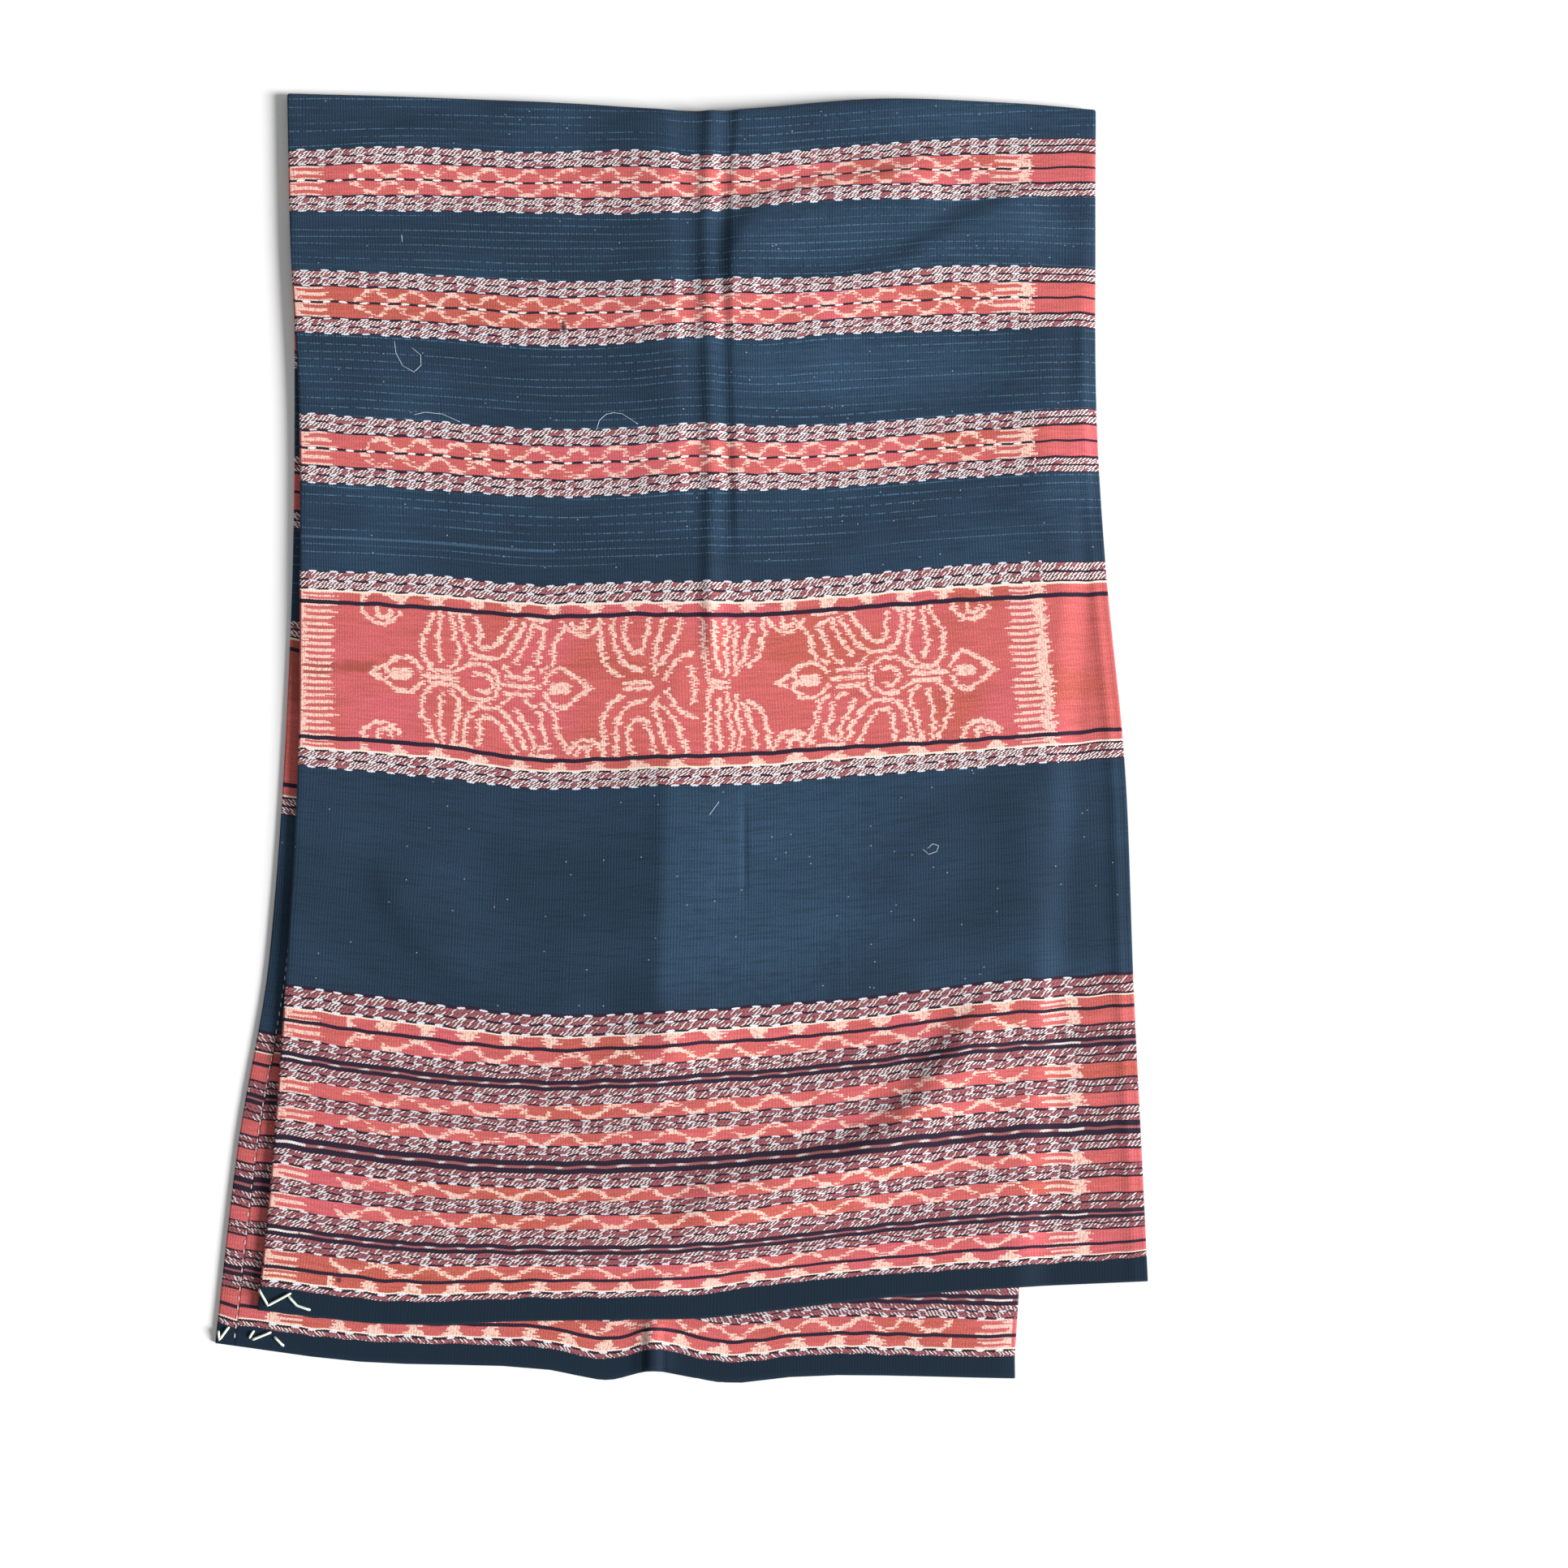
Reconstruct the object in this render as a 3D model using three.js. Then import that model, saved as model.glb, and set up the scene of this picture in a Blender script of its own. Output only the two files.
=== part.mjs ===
// A tube sarong, pressed flat and folded double, lying on a level surface.
// Millimetres: +X runs across the tube, +Y points to the folded top edge, +Z is up from the surface.
// Four layers lie on each other. From the surface up they are the outer face of the rear half, its
// inner face, the inner face of the front half and its outer face, which is the one that shows.

import * as THREE from 'three';

// The cloth
const CLOTH_THICKNESS = 1.2;
const LAYER_PITCH = 2; // from the middle of one layer to the middle of the next
const SIDE_FOLD_RADIUS = LAYER_PITCH / 2;
const MID_PLANE_HEIGHT = LAYER_PITCH + SIDE_FOLD_RADIUS + CLOTH_THICKNESS / 2; // between the two halves

// Where the front half reaches past the rear half's right edge, it falls by two layers
const FALL_HEIGHT = 2 * LAYER_PITCH;
const FALL_START = 12;
const FALL_RUN = 42;

// Side edges of each half, going down from the top of the folded edge
const FRONT_SIDES = [
  { down: 0, left: -300, right: 301 },
  { down: 120, left: -293, right: 298 },
  { down: 245, left: -282, right: 296 },
  { down: 365, left: -277, right: 300 },
  { down: 510, left: -273, right: 310 },
  { down: 665, left: -276, right: 312 },
  { down: 800, left: -281, right: 315 },
  { down: 890, left: -287, right: 317 },
];
const REAR_SIDES = [
  { down: 0, left: -300, right: 301 },
  { down: 200, left: -288, right: 285 },
  { down: 410, left: -283, right: 267 },
  { down: 645, left: -289, right: 247 },
  { down: 770, left: -305, right: 237 },
  { down: 915, left: -316, right: 225 },
];

// How far down the folded edge and the hems lie, going across from the left edge (0) to the right (1)
const FOLDED_EDGE = [
  { across: 0, down: 0 },
  { across: 0.15, down: 3 },
  { across: 0.35, down: 9 },
  { across: 0.52, down: 16 },
  { across: 0.73, down: 5 },
  { across: 0.9, down: 8 },
  { across: 1, down: 13 },
];
const FRONT_HEM = [
  { across: 0, down: 883 },
  { across: 0.1, down: 892 },
  { across: 0.3, down: 889 },
  { across: 0.5, down: 888 },
  { across: 0.65, down: 878 },
  { across: 0.8, down: 870 },
  { across: 1, down: 864 },
];
const REAR_HEM = [
  { across: 0, down: 905 },
  { across: 0.18, down: 917 },
  { across: 0.4, down: 921 },
  { across: 0.49, down: 929 },
  { across: 0.55, down: 923 },
  { across: 0.64, down: 931 },
  { across: 0.75, down: 926 },
  { across: 1, down: 928 },
];

// Soft folds that lift the front half, each along a straight line
const FRONT_FOLDS = [
  { name: 'middle, upper', fromX: 6, fromDown: 70, toX: 4, toDown: 330, height: 2.5, width: 24 },
  { name: 'middle, lower', fromX: 2, fromDown: 490, toX: -13, toDown: 740, height: 5, width: 34 },
  { name: 'upper right, slanting', fromX: 100, fromDown: 75, toX: 45, toDown: 140, height: 3, width: 24 },
  { name: 'lower right, slanting', fromX: 206, fromDown: 690, toX: 150, toDown: 780, height: 6, width: 30 },
  { name: 'lower middle, level', fromX: 130, fromDown: 750, toX: 10, toDown: 760, height: 3, width: 28 },
  { name: 'lower left, slanting', fromX: -205, fromDown: 590, toX: -80, toDown: 665, height: 4, width: 36 },
];

// The pleat pressed into the rear hem, in the layer that faces up
const PLEAT = { fromX: -19, fromDown: 908, toX: -19, toDown: 935, height: 2.5, width: 12 };

// How finely the cloth is divided
const STEPS_ACROSS = 22;
const STEPS_ROUND_SIDE_FOLD = 4;
const FRONT_ROWS = 22;
const TOP_FOLD_ROWS = 6;
const REAR_ROWS = 11; // down to the front half's hem
const REAR_HEM_ROWS = 3; // from there to the rear half's hem
const REAR_HEM_START = 0.964; // as a share of the rear half's length

const CLOTH = new THREE.MeshStandardMaterial({ color: 0x6b3a3c, roughness: 0.9, metalness: 0 });

// Reads one column of a table at a place between its rows, on a smooth curve through them
function readTable(table, by, column, at) {
  const last = table.length - 1;
  let row = 0;
  while (row < last - 1 && at > table[row + 1][by]) {
    row += 1;
  }
  const step = table[row + 1][by] - table[row][by];
  const share = THREE.MathUtils.clamp((at - table[row][by]) / step, 0, 1);
  const slopeAt = (index) => {
    const before = table[Math.max(index - 1, 0)];
    const after = table[Math.min(index + 1, last)];
    return (after[column] - before[column]) / (after[by] - before[by]);
  };
  const value = table[row][column];
  const rise = table[row + 1][column] - value;
  const startSlope = slopeAt(row) * step;
  const endSlope = slopeAt(row + 1) * step;
  const square = 3 * rise - 2 * startSlope - endSlope;
  const cube = startSlope + endSlope - 2 * rise;
  return value + share * (startSlope + share * (square + share * cube));
}

// Height of one soft fold at a place on the cloth
function foldHeight(fold, x, down) {
  const runX = fold.toX - fold.fromX;
  const runDown = fold.toDown - fold.fromDown;
  const along = ((x - fold.fromX) * runX + (down - fold.fromDown) * runDown) / (runX ** 2 + runDown ** 2);
  const nearest = THREE.MathUtils.clamp(along, 0, 1);
  const away = Math.hypot(x - fold.fromX - nearest * runX, down - fold.fromDown - nearest * runDown);
  return fold.height * Math.exp(-((away / fold.width) ** 2));
}

// How much higher the front half lies than if it were flat on the rear half
function frontRelief(x, down) {
  const lift = FRONT_FOLDS.reduce((sum, fold) => sum + foldHeight(fold, x, down), 0);
  const pastRear = x - readTable(REAR_SIDES, 'down', 'right', down);
  const fall = FALL_HEIGHT * THREE.MathUtils.smoothstep(pastRear, FALL_START, FALL_START + FALL_RUN);
  return lift - fall;
}

// One turn around the pressed tube, at a distance from the middle of the cloth's thickness.
// Each point gives its share of the way across, its shift past the side fold's centre, and its
// height over the plane between the two halves: the outer face is high and the inner face low.
function ringAround(offset) {
  const radius = SIDE_FOLD_RADIUS + offset;
  const ring = [];
  for (let step = 0; step <= STEPS_ACROSS; step += 1) {
    ring.push({ across: step / STEPS_ACROSS, shift: 0, height: LAYER_PITCH + radius, inner: false });
  }
  for (let step = 1; step < STEPS_ROUND_SIDE_FOLD; step += 1) {
    const turn = (Math.PI * step) / STEPS_ROUND_SIDE_FOLD;
    const height = LAYER_PITCH + radius * Math.cos(turn);
    ring.push({ across: 1, shift: radius * Math.sin(turn), height, inner: false });
  }
  for (let step = STEPS_ACROSS; step >= 0; step -= 1) {
    ring.push({ across: step / STEPS_ACROSS, shift: 0, height: LAYER_PITCH - radius, inner: true });
  }
  for (let step = 1; step < STEPS_ROUND_SIDE_FOLD; step += 1) {
    const turn = (Math.PI * step) / STEPS_ROUND_SIDE_FOLD;
    const height = LAYER_PITCH - radius * Math.cos(turn);
    ring.push({ across: 0, shift: -radius * Math.sin(turn), height, inner: false });
  }
  return ring;
}

// Where a point of the ring lies across, between two side edges
function placeAcross(point, left, right) {
  const width = right - left - 2 * SIDE_FOLD_RADIUS;
  return left + SIDE_FOLD_RADIUS + point.across * width + point.shift;
}

// The front half: share 0 is at the top fold and 1 at the hem
function placeInFront(point, share) {
  const start = readTable(FOLDED_EDGE, 'across', 'down', point.across) + MID_PLANE_HEIGHT;
  const end = readTable(FRONT_HEM, 'across', 'down', point.across);
  const down = THREE.MathUtils.lerp(start, end, share);
  const left = readTable(FRONT_SIDES, 'down', 'left', down);
  const right = readTable(FRONT_SIDES, 'down', 'right', down);
  const x = placeAcross(point, left, right);
  return new THREE.Vector3(x, -down, MID_PLANE_HEIGHT + point.height + frontRelief(x, down));
}

// The top fold: share 0 is at the front half and 1 at the rear half
function placeInTopFold(point, share) {
  const down = readTable(FOLDED_EDGE, 'across', 'down', point.across) + MID_PLANE_HEIGHT;
  const front = placeInFront(point, 0);
  const turn = Math.PI * share;
  const y = -down + point.height * Math.sin(turn);
  const lift = (front.z - MID_PLANE_HEIGHT - point.height) * (1 - share);
  return new THREE.Vector3(front.x, y, MID_PLANE_HEIGHT + lift + point.height * Math.cos(turn));
}

// The rear half: share 0 is at the top fold and 1 at the hem
function placeInRear(point, share) {
  const start = readTable(FOLDED_EDGE, 'across', 'down', point.across) + MID_PLANE_HEIGHT;
  const end = readTable(REAR_HEM, 'across', 'down', point.across);
  const down = THREE.MathUtils.lerp(start, end, share);
  const left = readTable(REAR_SIDES, 'down', 'left', down);
  const right = readTable(REAR_SIDES, 'down', 'right', down);
  const x = placeAcross(point, left, right);
  const pleat = point.inner ? foldHeight(PLEAT, x, down) : 0;
  return new THREE.Vector3(x, -down, MID_PLANE_HEIGHT - point.height + pleat);
}

// Every row of one skin of the cloth, from the front hem over the top fold to the rear hem
function skinRows(offset) {
  const ring = ringAround(offset);
  const rows = [];
  for (let row = FRONT_ROWS; row > 0; row -= 1) {
    rows.push(ring.map((point) => placeInFront(point, row / FRONT_ROWS)));
  }
  for (let row = 0; row < TOP_FOLD_ROWS; row += 1) {
    rows.push(ring.map((point) => placeInTopFold(point, row / TOP_FOLD_ROWS)));
  }
  for (let row = 0; row < REAR_ROWS; row += 1) {
    rows.push(ring.map((point) => placeInRear(point, (REAR_HEM_START * row) / REAR_ROWS)));
  }
  for (let row = 0; row <= REAR_HEM_ROWS; row += 1) {
    const share = THREE.MathUtils.lerp(REAR_HEM_START, 1, row / REAR_HEM_ROWS);
    rows.push(ring.map((point) => placeInRear(point, share)));
  }
  return rows;
}

// Two triangles between four corners that are given in turn. They meet along the line from the first
// corner to the third, or from the second to the fourth where the other way round is asked for.
function addFour(indices, corners, otherWay) {
  const [a, b, c, d] = otherWay ? [...corners.slice(1), corners[0]] : corners;
  indices.push(a, b, c);
  indices.push(a, c, d);
}

// A strip between two rows of points that go around the tube. The tube's two faces are divided along
// parallel lines, so that layers that lie on each other have the same facets.
function addStrip(indices, first, second, count, lowFaceStart) {
  for (let place = 0; place < count; place += 1) {
    const next = (place + 1) % count;
    const corners = [first + place, second + place, second + next, first + next];
    addFour(indices, corners, place >= lowFaceStart);
  }
}

// The cloth as one closed body: an outer skin, an inner skin and a rim at each hem
function clothGeometry() {
  const outer = skinRows(CLOTH_THICKNESS / 2);
  const inner = skinRows(-CLOTH_THICKNESS / 2);
  const count = outer[0].length;
  const half = count / 2;
  const rowCount = outer.length;
  const innerStart = count * rowCount;
  const indices = [];
  for (let row = 0; row + 1 < rowCount; row += 1) {
    const above = row * count;
    const below = above + count;
    addStrip(indices, below, above, count, half);
    for (let place = 0; place < count; place += 1) {
      const next = (place + 1) % count;
      const corners = [below + place, below + next, above + next, above + place];
      addFour(indices, corners.map((corner) => innerStart + corner), place >= half);
    }
  }
  addStrip(indices, 0, innerStart, count, count);
  addStrip(indices, innerStart + (rowCount - 1) * count, (rowCount - 1) * count, count, count);

  const geometry = new THREE.BufferGeometry();
  geometry.setFromPoints([...outer.flat(), ...inner.flat()]);
  geometry.setIndex(indices);
  return geometry;
}

// The origin is on the surface, under the middle of the whole outline
function centreOnSurface(geometry) {
  geometry.computeBoundingBox();
  const middle = geometry.boundingBox.getCenter(new THREE.Vector3());
  geometry.translate(-middle.x, -middle.y, -geometry.boundingBox.min.z);
  geometry.computeVertexNormals();
  return geometry;
}

const tube = new THREE.Mesh(centreOnSurface(clothGeometry()), CLOTH);
tube.name = 'sarong_tube';

const sarong = new THREE.Group();
sarong.add(tube);

export default sarong;
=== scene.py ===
"""A hand-woven tube sarong in warp ikat, pressed flat and folded double on a pale surface.

Sizes are in millimetres, as in the tables below, and turn into metres where a mesh is made.
u runs around the tube from its left fold, v runs along it from either hem, and down is the distance
below the folded top edge as it lies. The cloth's front half shows its outer face, named F, and the
rear half shows the tube's other face, named B.
"""

from collections import namedtuple
from functools import partialmethod
from math import cos, pi, radians, sin

import bpy
import numpy as np
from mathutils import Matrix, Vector
from mathutils.bvhtree import BVHTree


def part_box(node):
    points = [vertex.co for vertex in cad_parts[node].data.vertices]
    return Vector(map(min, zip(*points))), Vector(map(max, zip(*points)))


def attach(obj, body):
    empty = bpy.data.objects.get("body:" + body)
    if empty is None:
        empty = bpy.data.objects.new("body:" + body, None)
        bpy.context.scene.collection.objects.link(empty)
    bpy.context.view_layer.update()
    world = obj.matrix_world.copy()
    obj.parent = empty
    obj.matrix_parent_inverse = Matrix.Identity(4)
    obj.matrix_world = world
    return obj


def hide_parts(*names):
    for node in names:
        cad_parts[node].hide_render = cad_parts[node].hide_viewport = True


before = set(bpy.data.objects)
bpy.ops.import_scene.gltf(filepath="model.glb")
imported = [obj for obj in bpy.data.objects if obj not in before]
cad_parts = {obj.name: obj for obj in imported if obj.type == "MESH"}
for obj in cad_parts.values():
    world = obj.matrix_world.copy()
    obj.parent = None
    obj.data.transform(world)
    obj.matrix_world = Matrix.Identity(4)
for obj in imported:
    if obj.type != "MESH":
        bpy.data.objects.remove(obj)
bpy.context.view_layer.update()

MM = 0.001

# The cloth and how its layers lie
CLOTH_THICKNESS = 1.0
LAYER_PITCH = 2.0
SIDE_FOLD_RADIUS = LAYER_PITCH / 2
CAD_THICKNESS = 1.2
MID_PLANE_HEIGHT = LAYER_PITCH + SIDE_FOLD_RADIUS + CAD_THICKNESS / 2
HALF_WIDTH = 600.0
FOLD_ARC = pi * SIDE_FOLD_RADIUS
CIRCUMFERENCE = 2 * (HALF_WIDTH + FOLD_ARC)

# Side edges of each half
FRONT_SIDES = {
    "down": (0, 120, 245, 365, 510, 665, 800, 890),
    "left": (-300, -293, -282, -277, -273, -276, -281, -287),
    "right": (301, 298, 296, 300, 310, 312, 315, 317),
}
REAR_SIDES = {
    "down": (0, 200, 410, 645, 770, 915),
    "left": (-300, -288, -283, -289, -305, -316),
    "right": (301, 285, 267, 247, 237, 225),
}
FOLDED_EDGE = {
    "across": (0, 0.15, 0.35, 0.52, 0.73, 0.9, 1),
    "down": (0, 3, 9, 16, 5, 8, 13),
}
REAR_HEM = {
    "across": (0, 0.18, 0.4, 0.49, 0.55, 0.64, 0.75, 1),
    "down": (905, 917, 921, 929, 923, 931, 926, 928),
}

# Where the stripes of the front half lie: for each v, how far down, going across from left to right
LINES_ACROSS = (0, 0.15, 0.3, 0.42, 0.5, 0.58, 0.68, 0.82, 1)
LINES = {
    0: (883, 892, 890, 889, 888, 883, 876, 869, 864),
    13.5: (867, 877, 875, 874, 872, 866, 860, 855, 848),
    50.4: (829, 840, 843, 843, 841, 837, 830, 822, 818),
    108: (770, 782, 788, 787, 785, 781, 775, 766, 760),
    165.6: (713, 726, 733, 731, 728, 725, 719, 708, 701),
    210.6: (665, 676, 686, 685, 682, 679, 674, 664, 656),
    370.6: (508, 516, 526, 524, 524, 521, 516, 510, 502),
    392.3: (488, 494, 506, 504, 503, 500, 496, 491, 482),
    494.9: (390, 395, 402, 401, 402, 401, 396, 390, 384),
    516.6: (368, 372, 380, 378, 378, 377, 373, 365, 360),
    580.8: (302, 308, 314, 313, 310, 310, 307, 300, 294),
    633.2: (249, 255, 262, 262, 259, 261, 259, 252, 245),
    693.8: (189, 193, 200, 199, 195, 197, 192, 189, 185),
    746.2: (139, 143, 149, 150, 150, 150, 148, 139, 138),
    803.5: (92, 92, 94, 96, 95, 92, 86, 84, 80),
    848.5: (50, 48, 53, 52, 56, 56, 49, 42, 40),
    900: (-4, -4, -3, 1, 3, 1, -3, -8, -12),
}
# The rear half's stripes, by their distance from its hem
REAR_LINES = {"up": (0, 209, 363, 501, 905), "v": (0, 210.6, 370.6, 516.6, 897)}

# Where the front half reaches past the rear half's right edge, it falls by two layers
FALL_HEIGHT = 2 * LAYER_PITCH
FALL_START = -3.0
FALL_RUN = 23.0

# Folds and creases of the front half: a route of (u, v), how high it stands, how far it reaches to the
# left and to the right of the route as it runs, how rounded its crest is and whether only the face that
# shows has it
SOFT, SHARP = 2.0, 1.0
Fold = namedtuple("Fold", "route height left_reach right_reach crest face_only", defaults=(SOFT, False))
FRONT_FOLDS = {
    "middle": Fold(((300, 890), (296, 560), (266, 380), (262, 215), (272, 40)), 6.5, 200, 160, crest=1.2),
    "middle, lower": Fold(((270, 400), (267, 370), (266, 300), (264, 226), (285, 150)), 5.6, 52, 34, SHARP),
    "middle, upper": Fold(((279, 880), (282, 740), (283, 540)), 2.2, 11, 32),
    "lower right, slanting": Fold(
        (
            (512, 203), (484, 176), (464, 152), (446, 130), (426, 114), (400, 100), (365, 94), (325, 88),
            (270, 88),
        ),
        5.2, 27, 15,
    ),
    "upper right, curved": Fold(
        ((326, 700), (331, 757), (343, 785), (360, 802), (390, 810), (430, 814), (500, 826)), 4.6, 14, 50
    ),
    "upper right, slanting": Fold(
        ((575, 808), (546, 799), (533, 793), (504, 779), (484, 766), (459, 752), (425, 743), (350, 742)),
        4.4, 60, 11,
    ),
    "left arc": Fold(
        (
            (56, 320), (66, 295), (78, 275), (92, 258), (112, 243), (135, 232), (160, 224), (190, 219),
            (235, 219),
        ),
        2.8, 44, 12,
    ),
    "right, upright": Fold(((525, 370), (530, 195)), 1.4, 11, 26),
    "right, upper upright": Fold(((566, 720), (562, 640), (558, 580), (560, 500)), 1.6, 12, 30),
    "top left": Fold(((15, 834), (60, 855), (110, 868), (190, 880)), 1.4, 9, 22),
    "right of the middle": Fold(
        ((336, 885), (333, 840), (330.5, 780), (329, 700), (328, 600), (328, 520)), 1.8, 44, 5
    ),
    "middle crease": Fold(
        ((315, 890), (312.5, 840), (310, 790), (310, 700), (309, 600), (307, 560), (305, 520), (303, 440)),
        2.3, 7.5, 6.5, face_only=True,
    ),
    "groove, lower": Fold(((323, 376), (324, 275)), -0.8, 2.5, 2.5, face_only=True),
    "right edge": Fold(((592, 720), (592, 0)), 0.9, 3.5, 5, face_only=True),
    "wide band, crease": Fold(((150, 462), (185, 461), (231, 463)), -0.5, 1.6, 1.6, face_only=True),
    "wide band, wrinkle": Fold(
        ((81, 420), (130, 417), (165, 417), (198, 418)), 0.4, 1.6, 1.6, face_only=True
    ),
}
SIDE_BLEND = 0.9  # how quickly the reach on one side of a route turns into that on the other
FADE = 45.0  # how far a fold takes to rise from an end that lies on the cloth
FADE_SHARE = 0.35  # and at most this share of its length
EDGE_ZONE = 50.0  # a fold whose end lies so near the hem runs out over it
HEM_SHARE = 0.4  # how much of the folds' height is left at the hem
HEM_REACH = 80.0
# The pleat of the rear half's hem and the grooves on both its sides: a route of (x, down), how high it
# stands and how far it reaches
PLEATS = (
    (((-19, 897), (-19, 935)), 4.0, 9.0),
    (((-26, 897), (-25.5, 935)), -0.9, 2.4),
    (((-12.5, 897), (-12, 935)), -0.9, 2.4),
)

# How finely the cloth is divided: columns lie on a lattice of so many steps across each face
LATTICE = 400
CREASED = range(186, 228)  # the columns of the creases in the middle
EDGE_CREASED = range(384, 398)
FIELD_ROWS = (388.5, 499.5)
FIELD_STEP = 1.5
ROW_STEP = 5.0
HEM_ROWS = (0, 1.5, 3, 6, 9, 12, 13.5, 16.5)
LAST_ROW = 870.0
ROWS_TO_EDGE = 4
INNER_ROW_STEP = 10.0
TOP_FOLD_ROWS = 8
REAR_ROWS = 56
REAR_DENSE_FROM = 0.95
REAR_DENSE_ROWS = 14
ARC_STEPS = 6
FACE_STRIDE = 1000  # sets the column numbers of face F, the right fold, face B and the left fold apart
FACE_B_START = 3 * FACE_STRIDE - LATTICE
TURN_END = 5 * FACE_STRIDE  # the number that a turn's first column has again at the turn's end
LIP = 0.4  # how far the rim of a hem stands out, as a share of the cloth's thickness
TINY = 1e-6  # keeps a distance from being 0, for a division by it
FAR = 99.0  # the distance to a figure where there is none

# The ikat figures of the wide band, as strokes of (x, y) from the figure's centre, with y from the
# band's middle line. Each is drawn again below that line.
WIDE_MIDDLE = 443.6
STROKE = 1.5
PETALS = (
    ((-25, 48), (-20, 40), (-15, 32), (-9, 26), (-1, 25), (2, 31), (1, 38), (3, 46)),
    ((-33, 45), (-29, 37), (-24, 30), (-20, 23), (-12, 18), (2, 18), (8, 22), (11, 29), (13, 37), (14, 48)),
    ((-38, 45), (-37, 37), (-34, 30), (-30, 24), (-25, 17)),
    ((-41, 44), (-48, 42), (-47, 35), (-44, 28), (-42, 18)),
    ((-62, 44), (-58, 37), (-55, 30), (-54, 23), (-52, 16)),
    ((21, 48), (20, 39), (19, 31), (16, 24), (16, 15), (22, 9)),
    ((29, 48), (30, 38), (31, 29), (31, 20), (29, 12)),
    ((34, 48), (39, 38), (43, 30), (44, 22), (43, 14), (37, 8)),
    ((-16, 14), (-20, 9), (-23, 6)),
    ((-48, 15), (-44, 12)),
    ((-38, 14), (-33, 11)),
    ((-52, 49), (-36, 49)),
    ((8, 49), (22, 49)),
)
HEART = (
    ((-13, 0), (-11, 8), (-4, 13), (7, 13), (14, 8), (20, 5), (38, 5)),
    ((-42, 0), (-14, 0)),
    ((18, 0), (43, 0)),
    ((-37, 6), (-18, 6)),
)
SPIRAL = (((-3, 5), (4, 6), (8, 2), (8, -3), (3, -8), (-2, -6)),)
SPADES = (
    ((-82, 0), (-71, 6), (-63, 12), (-54, 13), (-47, 8), (-44, 5)),
    ((47, 4), (51, 11), (57, 15), (64, 11), (72, 6), (80, 0)),
    ((-70, 4), (-66, 0)),
    ((74, 3), (78, 0)),
)
SPADE_HEARTS = (((-63, 0), (-55, 0)), ((53, 0), (61, 0)))
SPADE_HEART_STROKE = 4.2
NESTED = (
    ((-27, 48), (-27, 36), (-29, 29), (-26, 20), (-21, 12), (-14, 7)),
    ((-17, 48), (-18, 36), (-17, 27), (-12, 19), (-6, 13), (2, 11)),
    ((-6, 48), (-10, 38), (-9, 31), (-4, 24), (3, 24), (6, 32), (10, 48)),
    ((21, 48), (17, 36), (14, 28), (11, 18), (13, 9)),
    ((33, 48), (30, 38), (26, 28), (20, 19), (12, 13)),
    ((41, 24), (31, 20), (24, 13), (20, 4)),
    ((-11, 2), (8, 2)),
)
UPRIGHT = (
    ((-26, 48), (-27, 38), (-25, 29), (-22, 20), (-13, 13)),
    ((-17, 47), (-16, 36), (-13, 27), (-12, 20), (-8, 15)),
    ((-5, 47), (-6, 32), (-4, 22), (-4, 8)),
    ((1, 47), (0, 36), (2, 26), (2, 16), (3, 7)),
    ((10, 46), (10, 32), (10, 20), (8, 11)),
    ((18, 48), (18, 30), (17, 14), (15, 4)),
    ((29, 13), (26, 6), (27, 0)),
    ((2, 2), (14, 2)),
)
ROSETTE = (
    ((-15, 50), (-12, 43), (-6, 38), (1, 37), (8, 40), (13, 46)),
    ((-3, 50), (-3, 43), (4, 42), (7, 47)),
)
SIDE_FIGURES = ((133, -1), (432, 1))  # centre in u, and 1 or -1 where it is drawn the other way round
MIDDLE_HALVES = ((249, 1, NESTED), (316, -1, UPRIGHT))
ROSETTES = ((60, 1), (208, -1), (360, 1), (498, 1))

# The stripes of each band, going out from its middle line: each kind and where it ends
GROUP_MIDDLE = 108.0
GROUP_STRIPES = (
    ("pin", 0.75), ("dark", 4.25), ("marled, turned", 14.7), ("ikat", 23.7), ("marled", 32.3),
    ("float", 33.7), ("ikat", 43.4), ("marled", 54.0), ("dark", 56.8), ("pin", 58.4), ("dark", 61.2),
    ("marled, turned", 70.0), ("ikat", 80.0), ("dark", 82.2), ("thin", 88.8), ("cream", 90.0),
    ("marled", 102.6), ("float", 104.6), ("ground", 120.0),
)
GROUP_LOW_END = 94.5  # below the middle line the last marled stripe is narrower and has no floats
GROUP_TOP = 214.0
WIDE_STRIPES = (
    ("field", 49.7), ("dark", 52.9), ("thin", 59.0), ("cream", 60.2), ("marled", 73.0), ("float", 75.0),
    ("ground", 90.0),
)
WIDE_RANGE = (360.0, 530.0)
NARROW_MIDDLES = (607.0, 720.0, 826.0)
NARROW_STRIPES = (
    ("dashed", 0.8), ("ikat", 12.0), ("dark", 12.8), ("marled", 24.6), ("float", 26.4), ("ground", 60.0),
)
KINDS = (
    "ground", "dark", "cream", "pin", "dashed", "ikat", "field", "thin", "marled", "marled, turned", "float",
)

COLOURS = {
    "indigo": (37, 57, 77),
    # the lighter indigo of worn places, which also serves as painted light on the lit flanks of the folds
    "indigo, worn and painted light": (58, 88, 115),
    "indigo, deep": (26, 39, 50),
    # painted shade: the colour that darkens both hems, for the shade they lie in
    "hem": (22, 39, 55),
    "pinstripe": (92, 128, 160),
    "dark": (46, 34, 52),
    "coral": (204, 97, 97),
    "coral, brown": (184, 88, 70),
    "coral, pink": (210, 98, 108),
    "frost": (240, 160, 146),
    "tie": (254, 218, 202),
    "cream": (252, 232, 212),
    "pin": (158, 96, 98),
    "maroon": (66, 32, 50),
    "maroon, red": (118, 52, 62),
    "twist white": (250, 244, 240),
    "twist pink": (200, 122, 124),
    "float": (226, 232, 244),
    "stain": (140, 70, 44),
    "thread": (228, 238, 220),
    "stitch": (214, 200, 206),
    "floor": (250, 250, 250),
}


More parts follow.
